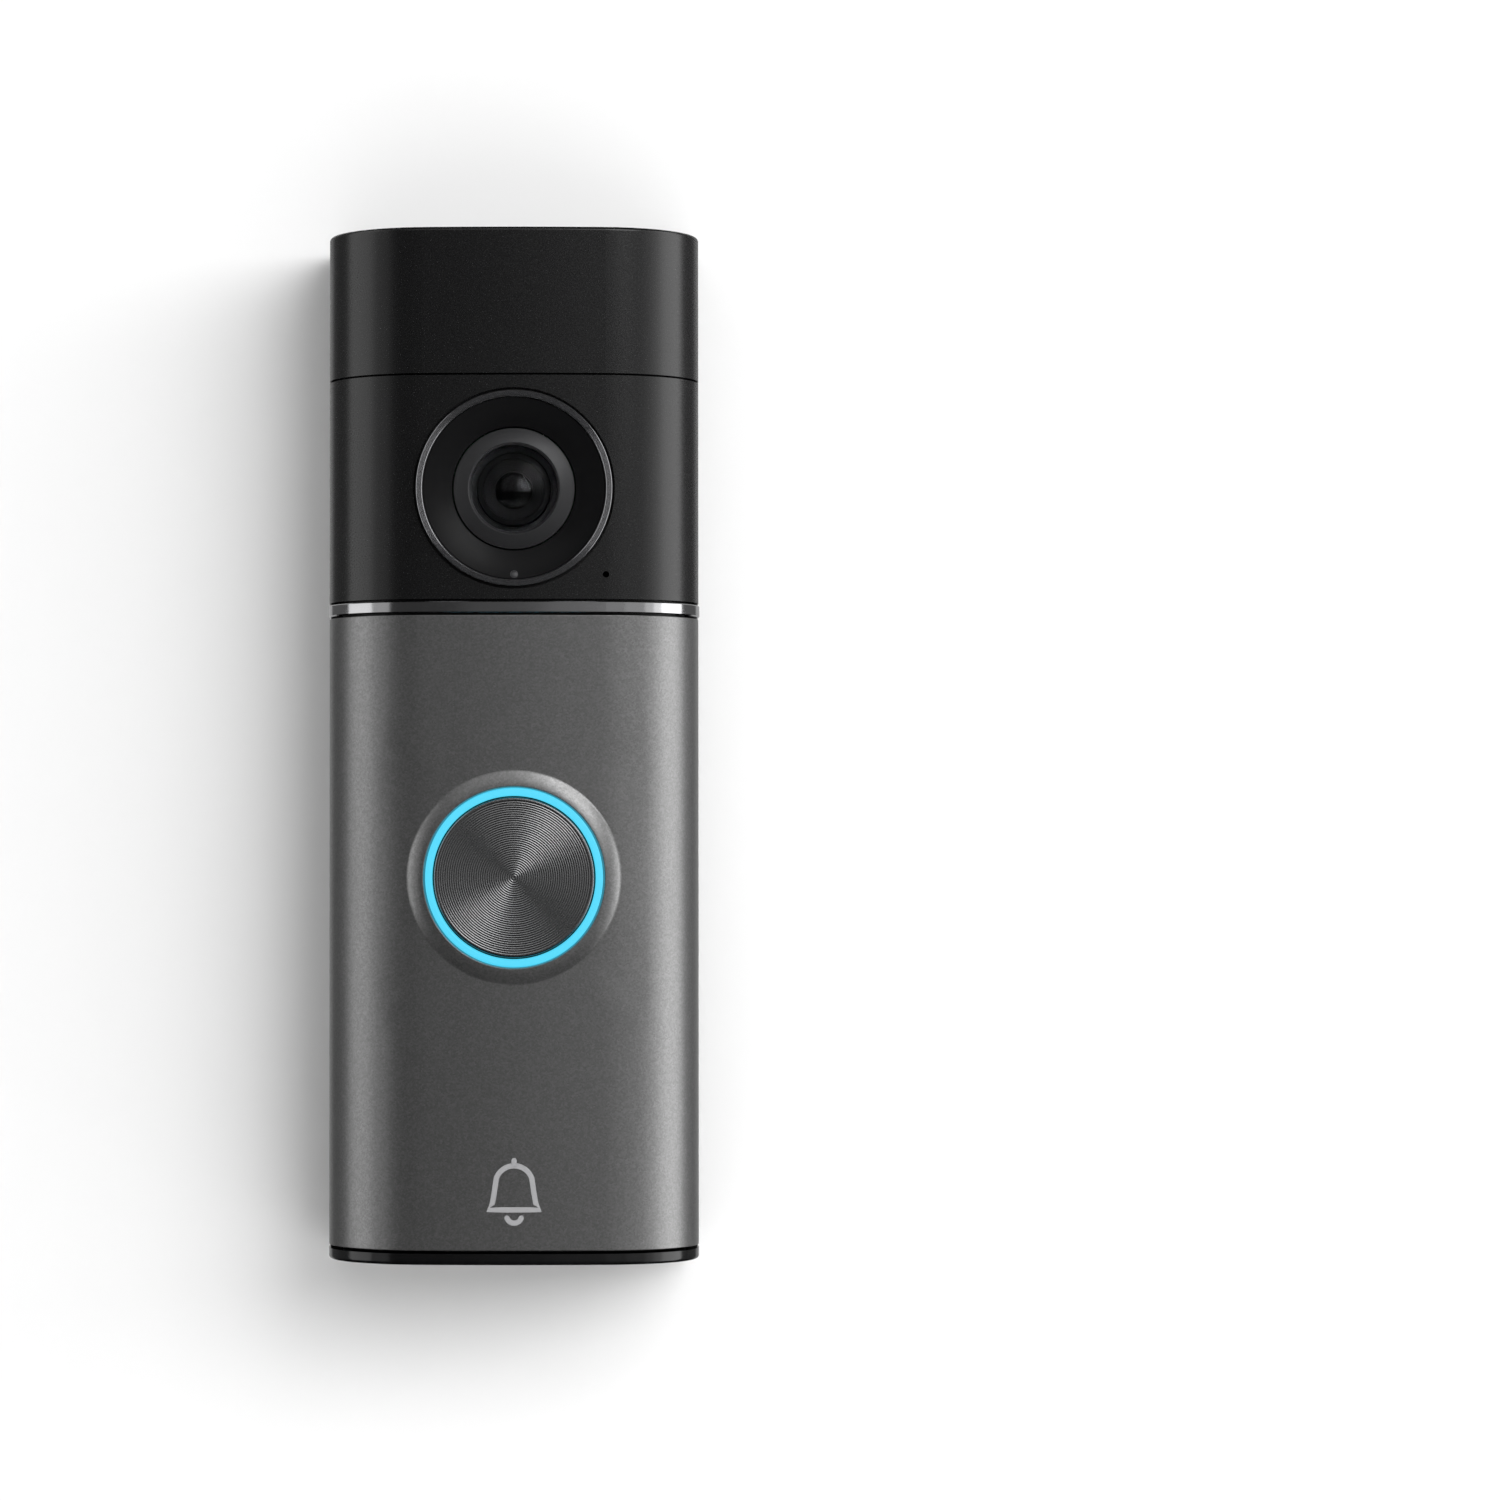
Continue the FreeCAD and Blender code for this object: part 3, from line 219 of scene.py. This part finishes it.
def paint_nodes():
    """Gives every CAD piece the finish of its record slot, and the base cap a glossier one."""
    for part in frame["record"]["subparts"]:
        glossy = part["node"] == "base_cap"
        materials = frame["nodes"][part["node"]].data.materials
        materials.clear()
        materials.append(FINISHES["gloss_shell" if glossy else part["material_slot"]])


paint_nodes()


# ---------------------------------------------------------------- mesh helpers
def piece(name, points, faces, finish_name, body, replaced=(), crease=32):
    """Closed mesh piece, shaded smooth up to the crease angle, that rides on a body."""
    mesh = bpy.data.meshes.new(name)
    mesh.from_pydata(points, [], faces)
    work = bmesh.new()
    work.from_mesh(mesh)
    bmesh.ops.recalc_face_normals(work, faces=work.faces)
    work.to_mesh(mesh)
    work.free()
    mesh.shade_smooth()
    mesh.set_sharp_from_angle(angle=math.radians(crease))
    mesh.materials.append(FINISHES[finish_name])
    obj = bpy.data.objects.new(name, mesh)
    bpy.context.scene.collection.objects.link(obj)
    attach(obj, body)
    if replaced:
        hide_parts(*replaced)
    return obj


def turned(name, profile, z, finish_name, body, replaced=(), steps=192, crease=32):
    """Piece turned about the line along Y at height z; profile is a closed list of (radius, y)."""
    points, rings = [], []
    for radius, y in profile:
        count = steps if radius else 1
        ring = []
        for step in range(count):
            angle = 2 * math.pi * step / steps
            ring.append(len(points))
            points.append((radius * math.cos(angle), y, z + radius * math.sin(angle)))
        rings.append(ring if radius else ring * steps)
    faces = []
    for first, second in zip(rings, rings[1:] + rings[:1]):
        for step in range(steps):
            after = (step + 1) % steps
            corners = dict.fromkeys((first[step], first[after], second[after], second[step]))
            if len(corners) > 2:
                faces.append(list(corners))
    return piece(name, points, faces, finish_name, body, replaced, crease)


def rounded(profile, radius, steps=3):
    """Closed profile with every corner off the axis rounded by a short curve."""
    smooth = []
    for before, corner, after in zip(profile[-1:] + profile[:-1], profile, profile[1:] + profile[:1]):
        if corner[0] == 0:
            smooth.append(corner)
            continue
        middle = Vector(corner)
        arms = [Vector(end) - middle for end in (before, after)]
        start, end = (middle + arm.normalized() * min(radius, arm.length * 0.45) for arm in arms)
        for step in range(steps + 1):
            t = step / steps
            smooth.append(tuple(start * (1 - t) ** 2 + middle * (2 * t * (1 - t)) + end * t ** 2))
    return smooth


def grooves(inner, outer, y, count, depth):
    """Profile points of fine round-bottomed grooves cut into a face at y, from inner to outer radius."""
    pitch = (outer - inner) / count
    steps = 6
    points = []
    for step in range(count * steps + 1):
        turn = 2 * math.pi * step / steps
        points.append((inner + pitch * step / steps, y + depth * (1 - math.cos(turn)) / 2))
    return points


def arc(centre, radius, start, end, steps):
    """Points on an arc about a 2D centre, between two angles in degrees."""
    angles = [math.radians(start + (end - start) * step / steps) for step in range(steps + 1)]
    return [(centre[0] + radius * math.cos(a), centre[1] + radius * math.sin(a)) for a in angles]


def round_node(node):
    """Height, radius and front y of a CAD node turned about a line along Y."""
    low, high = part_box(node)
    return (low.z + high.z) / 2, (high.x - low.x) / 2, low.y


# ---------------------------------------------------------------- body outline
BODY_LOW, BODY_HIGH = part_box("faceplate")
SKIN_BACK = BODY_HIGH.y
FRONT = -28.0 * MM
HALF_W = BODY_HIGH.x
CORNER_R = 13.0 * MM
CROWN_R = 150.0 * MM
CORNER_X = HALF_W - CORNER_R
CORNER_Y = FRONT + CROWN_R - math.sqrt((CROWN_R - CORNER_R) ** 2 - CORNER_X ** 2)
TANGENT_X = CORNER_X * CROWN_R / (CROWN_R - CORNER_R)


def front_y(x):
    """The front skin's y: a shallow crown that runs into the corner arcs."""
    if abs(x) <= TANGENT_X:
        return FRONT + CROWN_R - math.sqrt(CROWN_R ** 2 - x ** 2)
    return CORNER_Y - math.sqrt(max(0.0, CORNER_R ** 2 - (abs(x) - CORNER_X) ** 2))


# ---------------------------------------------------------------- faceplate
BUTTON_Z = round_node("button_cap")[0]
HOLE_R = 11.35 * MM         # opening for the light ring
PAD_R = 13.4 * MM           # foot of the raised pad
SQUARE = 16.5 * MM          # half the side of the square patch that holds the pad's rings
SQUARE_STEPS = 44
ROWS_BELOW, ROWS_ABOVE = 8, 3


def skin_y(x, z):
    """The skin's y: the crown, which swells softly to the pad round the button."""
    r = math.hypot(x, z - BUTTON_Z)
    swell = min(1.0, max(0.0, (r - HOLE_R) / (PAD_R - HOLE_R)))
    return BODY_LOW.y + (front_y(x) - BODY_LOW.y) * swell ** 1.4


def skin_columns():
    """Grid columns from side wall to side wall as (x, y), y None over the square; and the square's first."""
    side_y = [SKIN_BACK + (CORNER_Y - SKIN_BACK) * k / 3 for k in range(3)]
    reach = math.degrees(math.acos((SQUARE - CORNER_X) / CORNER_R))
    right = [(HALF_W, y) for y in side_y] + arc((CORNER_X, CORNER_Y), CORNER_R, 0, -reach, 14)[:-1]
    flat = [(SQUARE * (2 * k / SQUARE_STEPS - 1), None) for k in range(SQUARE_STEPS + 1)]
    return [(-x, y) for x, y in right] + flat + right[::-1], len(right)


def skin_rows():
    """Grid rows from the skin's foot to its top."""
    low, high = BODY_LOW.z, BODY_HIGH.z
    start, end = BUTTON_Z - SQUARE, min(BUTTON_Z + SQUARE, high - 1 * MM)
    rows = [low + (start - low) * k / ROWS_BELOW for k in range(ROWS_BELOW)]
    rows += [start + (end - start) * k / SQUARE_STEPS for k in range(SQUARE_STEPS + 1)]
    return rows + [end + (high - end) * (k + 1) / ROWS_ABOVE for k in range(ROWS_ABOVE)]


def skin_grid(points, faces):
    """Adds the grid with its square left open, and gives the vertices round the square."""
    columns, first_col = skin_columns()
    rows, first_row = skin_rows(), ROWS_BELOW
    last, at = SQUARE_STEPS, {}

    def vertex(col, row):
        if (col, row) not in at:
            x, y = columns[col]
            at[col, row] = len(points)
            points.append((x, skin_y(x, rows[row]) if y is None else y, rows[row]))
        return at[col, row]

    for col in range(len(columns) - 1):
        for row in range(len(rows) - 1):
            if not (0 <= col - first_col < last and 0 <= row - first_row < last):
                corners = (col, row), (col + 1, row), (col + 1, row + 1), (col, row + 1)
                faces.append([vertex(*corner) for corner in corners])
    border = [(first_col + k, first_row) for k in range(last)]
    border += [(first_col + last, first_row + k) for k in range(last)]
    border += [(first_col + last - k, first_row + last) for k in range(last)]
    border += [(first_col, first_row + last - k) for k in range(last)]
    return [vertex(*place) for place in border]


def pad_rings(points, faces, edge):
    """Fills the square with rings from the button's hole out over the pad to the square's edge."""
    radii = [HOLE_R + (PAD_R - HOLE_R) * k / 9 for k in range(10)]
    radii += [PAD_R + 0.12 * MM, PAD_R + 0.35 * MM]
    rings = []

    def add_ring(places):
        rings.append(list(range(len(points), len(points) + len(places))))
        points.extend((x, skin_y(x, z), z) for x, z in places)

    for radius in radii:
        aways = [Vector((points[k][0], points[k][2] - BUTTON_Z)).normalized() * radius for k in edge]
        add_ring([(away.x, BUTTON_Z + away.y) for away in aways])
    last_ring = rings[-1]
    for share in (0.25, 0.6):
        ends = [(Vector(points[inner]), Vector(points[outer])) for inner, outer in zip(last_ring, edge)]
        add_ring([(a.x + (b.x - a.x) * share, a.z + (b.z - a.z) * share) for a, b in ends])
    rings.append(edge)
    for inner, outer in zip(rings, rings[1:]):
        for k in range(len(edge)):
            n = (k + 1) % len(edge)
            faces.append([inner[k], inner[n], outer[n], outer[k]])


def faceplate_skin():
    """Front skin with a pad that swells softly about the button, closed by its wall thickness."""
    points, faces = [], []
    pad_rings(points, faces, skin_grid(points, faces))
    obj = piece("faceplate_skin", points, faces, "faceplate_paint", "faceplate", ("faceplate",), 60)
    if obj.data.polygons[0].normal.x > 0:
        obj.data.flip_normals()
    wall = obj.modifiers.new("wall", "SOLIDIFY")
    wall.thickness = 1.4 * MM
    wall.offset = -1
    wall.use_even_offset = True
    soften(obj, 0.12 * MM)


def soften(obj, width):
    """Small rounded edges that catch the light."""
    bevel = obj.modifiers.new("edges", "BEVEL")
    bevel.width = width
    bevel.segments = 2
    bevel.limit_method = "ANGLE"
    bevel.angle_limit = math.radians(50)
    bevel.harden_normals = True


def raised_line(path, half_w, closed):
    """Outline of a line along a path of (x, z), round-ended if open: its points, faces and rim edges."""
    steps = len(path)
    left, right = [], []
    for k, (x, z) in enumerate(path):
        before = path[(k - 1) % steps] if closed or k else path[k]
        after = path[(k + 1) % steps] if closed or k < steps - 1 else path[k]
        along = Vector((after[0] - before[0], after[1] - before[1])).normalized()
        left.append((x - along.y * half_w, z + along.x * half_w))
        right.append((x + along.y * half_w, z - along.x * half_w))
    flat = left + right
    count = steps if closed else steps - 1
    fronts = [[k, (k + 1) % steps, steps + (k + 1) % steps, steps + k] for k in range(count)]
    rims = [[k, (k + 1) % steps] for k in range(count)]
    rims += [[steps + (k + 1) % steps, steps + k] for k in range(count)]
    if not closed:
        for end, a, b in ((0, steps, 0), (steps - 1, steps - 1, 2 * steps - 1)):
            cx, cz = path[end]
            start = math.atan2(flat[a][1] - cz, flat[a][0] - cx)
            cap = [a]
            for k in range(1, 8):
                turn = start - math.pi * k / 8
                cap.append(len(flat))
                flat.append((cx + half_w * math.cos(turn), cz + half_w * math.sin(turn)))
            cap.append(b)
            fronts.append(cap)
            rims += [[cap[k + 1], cap[k]] for k in range(len(cap) - 1)]
    return flat, fronts, rims


def bell_mark():
    """Plain bell sign in bright metal near the foot of the front, where such doorbells carry a mark."""
    unit = 1.18 * MM
    foot = BODY_LOW.z + 3.3 * MM
    dome = arc((0, 4.2), 2.0, 20, 160, 16)
    body = [(2.75, 1.55), (2.3, 2.2), (2.1, 3.3)] + dome + [(-2.1, 3.3), (-2.3, 2.2), (-2.75, 1.55)]
    body += [(-1.4, 1.55), (0.0, 1.55), (1.4, 1.55)]
    lines = [(body, True), (arc((0, 0.95), 0.8, 200, 340, 8), False), ([(0, 6.3), (0, 6.75)], False)]
    points, faces = [], []
    for path, closed in lines:
        path = [(x * unit, foot + z * unit) for x, z in path]
        flat, fronts, rims = raised_line(path, 0.33 * MM, closed)
        base, size = len(points), len(flat)
        points += [(x, front_y(x) - 0.05 * MM, z) for x, z in flat]
        points += [(x, front_y(x) + 0.1 * MM, z) for x, z in flat]
        faces += [[base + k for k in face] for face in fronts]
        faces += [[base + size + k for k in reversed(face)] for face in fronts]
        faces += [[base + a, base + b, base + size + b, base + size + a] for a, b in rims]
    return piece("bell_mark", points, faces, "mark_metal", "faceplate")


# ---------------------------------------------------------------- button
def button_face():
    """Turned metal cap: fine grooves from the centre to a polished rim, skirt and stem behind."""
    z, r, front = round_node("button_cap")
    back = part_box("button_cap")[1].y
    skirt_y, crown_y = -25.5 * MM, -26.9 * MM
    stem_r = 2.0 * MM
    face = [(0, front + 0.06 * MM), (0.12 * MM, front + 0.05 * MM)]
    face += grooves(0.25 * MM, r - 0.35 * MM, front, 34, 0.046 * MM)
    edge = [(r - 0.2 * MM, front), (r - 0.04 * MM, front + 0.06 * MM), (r, front + 0.2 * MM)]
    behind = [(r, skirt_y), (r - 0.9 * MM, skirt_y), (r - 0.9 * MM, crown_y), (stem_r, crown_y),
              (stem_r, back), (0, back)]
    return turned("button_face", face + edge + behind, z, "spun_metal", "button", ("button_cap",), 180, 60)


def light_guide():
    """Translucent ring with a softly rounded lip and its flange."""
    z, flange_r, front = round_node("light_ring")
    inner, outer = 10.28 * MM, 11.08 * MM
    flange_front, flange_back = -23.4 * MM, -22.6 * MM
    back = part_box("light_ring")[1].y
    profile = [(inner, front), (outer, front), (outer, flange_front), (flange_r, flange_front),
               (flange_r, flange_back), (outer, flange_back), (outer, back), (inner, back)]
    return turned("light_guide", rounded(profile, 0.1 * MM), z, "light_guide", "unit", ("light_ring",))


# ---------------------------------------------------------------- camera
CAM_Z, RING_R, RING_FRONT = round_node("camera_ring")


def camera_trim():
    """Metal ring with fine turned grooves on its face."""
    inner = 11.45 * MM
    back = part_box("camera_ring")[1].y
    face = grooves(inner + 0.18 * MM, RING_R - 0.2 * MM, RING_FRONT, 4, 0.08 * MM)
    profile = [(inner, back), (inner, RING_FRONT + 0.2 * MM), (inner + 0.12 * MM, RING_FRONT + 0.03 * MM)]
    outer = RING_R - 0.12 * MM
    profile += face + [(outer - 0.03 * MM, RING_FRONT + 0.03 * MM), (outer, RING_FRONT + 0.12 * MM)]
    profile += [(outer, back)]
    return turned("camera_trim", profile, CAM_Z, "ring_metal", "unit", ("camera_ring",), crease=60)


def window_dish():
    """Glossy black window, dished towards the lens."""
    low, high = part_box("ir_window")
    outer, inner = high.x, 7.75 * MM
    profile = [(inner, low.y + 1.1 * MM), (outer, low.y), (outer, low.y + 0.95 * MM),
               (outer - 0.7 * MM, low.y + 0.95 * MM), (inner, high.y)]
    return turned("window_dish", rounded(profile, 0.12 * MM), CAM_Z, "window_black", "unit", ("ir_window",))


def bezel_cone():
    """Satin cone round the front glass, with a chamfered inner crest."""
    low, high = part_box("lens_bezel")
    outer, bore, seat_r = high.x, 5.45 * MM, 6.25 * MM
    neck_r, neck_y = outer - 0.4 * MM, -25.2 * MM
    crest, edge_y = low.y, low.y + 0.8 * MM
    profile = [(bore, crest + 0.42 * MM), (bore + 0.3 * MM, crest), (outer, edge_y), (outer, neck_y),
               (neck_r, neck_y), (neck_r, high.y), (seat_r, high.y), (seat_r, -24.6 * MM),
               (bore, -25.0 * MM)]
    return turned("bezel_cone", rounded(profile, 0.07 * MM), CAM_Z, "bezel_grey", "unit", ("lens_bezel",))


def cap_curve(apex_y, rim_r, rise, steps=14):
    """Profile of a spherical cap from its apex on the axis to its rim."""
    ball = (rim_r ** 2 + rise ** 2) / (2 * rise)
    reach = math.asin(rim_r / abs(ball))
    way = 1 if rise > 0 else -1
    angles = [reach * step / steps for step in range(steps + 1)]
    return [(abs(ball) * math.sin(a), apex_y + way * abs(ball) * (1 - math.cos(a))) for a in angles]


def front_glass():
    """Thin domed cover glass."""
    low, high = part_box("lens_dome")
    rim, hollow = high.x, 4.75 * MM
    outside = cap_curve(low.y, rim, 1.6 * MM)
    inside = cap_curve(low.y + 0.8 * MM, hollow, 1.35 * MM)
    outline = outside + [(rim, high.y), (hollow, high.y)] + inside[::-1]
    return turned("front_glass", outline, CAM_Z, "cover_glass", "unit", ("lens_dome",))


def lens_glasses():
    """Three curved glasses in the barrel, the front one the roundest."""
    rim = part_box("lens_elements")[1].x
    made = []
    for number, (y, bulge) in enumerate(((-22.7, 0.5), (-20.5, 0.4), (-18.4, 0.4))):
        front = cap_curve((y - 0.35 - bulge) * MM, rim, bulge * MM)
        back = cap_curve((y + 0.35 + bulge) * MM, rim, -bulge * MM)
        made.append(turned(f"lens_glass_{number}", front + back[::-1], CAM_Z, "optical_glass", "unit"))
    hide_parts("lens_elements")
    return made


def barrel_mouth():
    """Lens barrel whose flared mouth steps down in fine baffles to the front lens."""
    low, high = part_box("lens_barrel")
    outer, mouth, bore = high.x, 3.75 * MM, 2.41 * MM
    lens_y, lip_y = -23.4 * MM, low.y + 0.35 * MM
    steps = 7
    flare = []
    for step in range(steps):
        r0 = bore + (mouth - bore) * step / steps
        r1 = bore + (mouth - bore) * (step + 1) / steps
        y = lens_y + (lip_y - lens_y) * step / (steps - 1)
        flare += [(r0, y), (r1 - 0.03 * MM, y - 0.04 * MM)]
    rim = [(mouth, low.y + 0.15 * MM), (mouth + 0.12 * MM, low.y), (outer - 0.1 * MM, low.y),
           (outer, low.y + 0.1 * MM), (outer, high.y), (bore, high.y)]
    return turned("barrel_mouth", flare + rim, CAM_Z, "barrel_black", "unit", ("lens_barrel",))


def status_bead():
    """Small clear bead at the end of the status light's pipe, level with the dished window."""
    z, r, front = round_node("status_light")
    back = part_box("status_light")[1].y
    tilt = math.atan2(1.1, 3.65)
    profile = cap_curve(-0.09 * MM, 0.36 * MM, 0.05 * MM, 6)
    profile += [(0.37 * MM, 0.02 * MM), (0.42 * MM, -0.05 * MM), (r, -0.03 * MM)]
    profile += [(r, back - front), (0, back - front)]
    bead = turned("status_bead", profile, 0, "clear_pipe", "unit", ("status_light",), 48)
    bead.data.transform(Matrix.Translation((0, front, z)) @ Matrix.Rotation(-tilt, 4, "X"))


# ---------------------------------------------------------------- wall plate
def tab_arrows():
    """Blue triangles printed on the white pull tabs."""
    low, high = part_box("pull_tabs")
    half_tab, half_base, rise = 3.55 * MM, 1.15 * MM, 2.2 * MM
    base_z = low.z + 3.6 * MM
    points, faces = [], []
    for x in (low.x + half_tab, high.x - half_tab):
        corners = [(x - half_base, base_z), (x + half_base, base_z), (x, base_z + rise)]
        start = len(points)
        points += [(cx, low.y - 0.02 * MM, cz) for cx, cz in corners]
        points += [(cx, low.y + 0.05 * MM, cz) for cx, cz in corners]
        faces += [[start, start + 1, start + 2], [start + 5, start + 4, start + 3]]
        for k in range(3):
            n = (k + 1) % 3
            faces.append([start + k, start + n, start + 3 + n, start + 3 + k])
    return piece("tab_arrows", points, faces, "arrow_ink", "wall_plate")


def pieces():
    """Every finer piece."""
    faceplate_skin()
    bell_mark()
    button_face()
    light_guide()
    camera_trim()
    window_dish()
    bezel_cone()
    front_glass()
    lens_glasses()
    barrel_mouth()
    status_bead()
    tab_arrows()


pieces()

# ---------------------------------------------------------------- studio
def stage_plane(name, centre, width, height, normal, colour):
    """Plain pale surface seen from its front only, so that it never hides the object from behind."""
    mesh = bpy.data.meshes.new(name)
    half_w, half_h = width / 2, height / 2
    corners = [(-half_w, -half_h, 0), (half_w, -half_h, 0), (half_w, half_h, 0), (-half_w, half_h, 0)]
    mesh.from_pydata(corners, [], [(0, 1, 2, 3)])
    obj = bpy.data.objects.new(name, mesh)
    bpy.context.scene.collection.objects.link(obj)
    obj.rotation_mode = "QUATERNION"
    obj.rotation_quaternion = Vector(normal).to_track_quat("Z", "Y")
    obj.location = centre
    made, nodes, links, shader = new_material(name)
    shader.inputs["Base Color"].default_value = grey(colour)
    shader.inputs["Roughness"].default_value = 0.9
    shader.inputs["Specular IOR Level"].default_value = 0.0
    clear = nodes.new("ShaderNodeBsdfTransparent")
    mix = nodes.new("ShaderNodeMixShader")
    links.new(nodes.new("ShaderNodeNewGeometry").outputs["Backfacing"], mix.inputs["Fac"])
    links.new(shader.outputs["BSDF"], mix.inputs[1])
    links.new(clear.outputs["BSDF"], mix.inputs[2])
    links.new(mix.outputs["Shader"], nodes["Material Output"].inputs["Surface"])
    mesh.materials.append(made)
    obj.visible_glossy = False
    obj.visible_shadow = False


def softbox(name, azimuth, elevation, distance, width, height, radiance, shape="RECTANGLE"):
    """Area light aimed at the object; azimuth 0 is in front of it, 90 to the viewer's right."""
    data = bpy.data.lights.new(name, "AREA")
    data.shape = shape
    data.size, data.size_y = width, height
    data.energy = radiance * math.pi * width * height
    obj = bpy.data.objects.new(name, data)
    bpy.context.scene.collection.objects.link(obj)
    a, e = math.radians(azimuth), math.radians(elevation)
    away = Vector((math.sin(a) * math.cos(e), -math.cos(a) * math.cos(e), math.sin(e)))
    obj.location = away * distance
    obj.rotation_mode = "QUATERNION"
    obj.rotation_quaternion = away.to_track_quat("Z", "Y")
    obj.visible_camera = False
    return obj


def panel(name, start, end, radiance, elevation=14):
    """Upright softbox that spans two azimuths as seen from the object, more of it above than below."""
    distance, height = 0.8, 1.25
    width = 2 * distance * math.tan(math.radians(end - start) / 2)
    return softbox(name, (start + end) / 2, elevation, distance, width, height, radiance)


# azimuth from, azimuth to, radiance and, where it isn't the usual one, elevation
HORIZON = [
    (-104, -68, 1.25), (-68, -46, 0.5), (-46, -6, 0.05), (-6, 3, 0.1), (3, 9, 0.2), (9, 30, 0.32),
    (30, 54, 0.42), (54, 65, 0.75, 4), (65, 76, 1.3, 4), (76, 108, 2.4, 4), (108, 146, 0.12),
    (146, 214, 0.45), (-146, -104, 0.12)]


def studio():
    """Pale wall and floor, softboxes round the horizon, overhead boxes, a wide key and a fill."""
    stage_plane("wall", (0, 0.2 * MM, 0), 2.4, 2.4, (0, -1, 0), 0.8)
    stage_plane("floor", (0, -0.35, -0.4), 1.6, 2.3, (0, 0, 1), 0.85)
    for start, end, *values in HORIZON:
        panel(f"box_{start}_{end}", start, end, *values)
    softbox("upper_box", 30, 30, 0.9, 0.56, 0.42, 2.55, "ELLIPSE")
    softbox("overhead_box", 0, 38, 1.0, 0.9, 0.4, 0.8)
    softbox("key", 42, 15, 1.5, 1.9, 0.55, 5.0).visible_glossy = False
    softbox("fill", 0, 22, 1.5, 1.6, 1.0, 0.8).visible_glossy = False
    softbox("back_fill", 180, 50, 1.5, 1.6, 1.0, 2.0).visible_glossy = False
    world = bpy.data.worlds.new("surround")
    bpy.context.scene.world = world
    world.use_nodes = True
    world.node_tree.nodes["Background"].inputs["Color"].default_value = grey(0.93)
    for ray in ("diffuse", "glossy", "transmission"):
        setattr(world.cycles_visibility, ray, False)
    bpy.context.scene.view_settings.view_transform = "Standard"


def camera():
    """Camera in front of the doorbell, level with the button; its shift puts the doorbell to the left."""
    front = cad_box[0].y
    data = bpy.data.cameras.new("camera")
    data.lens = 124.8
    data.sensor_width = 36.0
    data.shift_x = 0.1573
    obj = bpy.data.objects.new("camera", data)
    bpy.context.scene.collection.objects.link(obj)
    obj.location = (0, front - 0.6484, -16.6 * MM)
    aim = Vector((0, front, -0.7 * MM))
    obj.rotation_mode = "QUATERNION"
    obj.rotation_quaternion = (obj.location - aim).to_track_quat("Z", "Y")
    bpy.context.scene.camera = obj


studio()
camera()
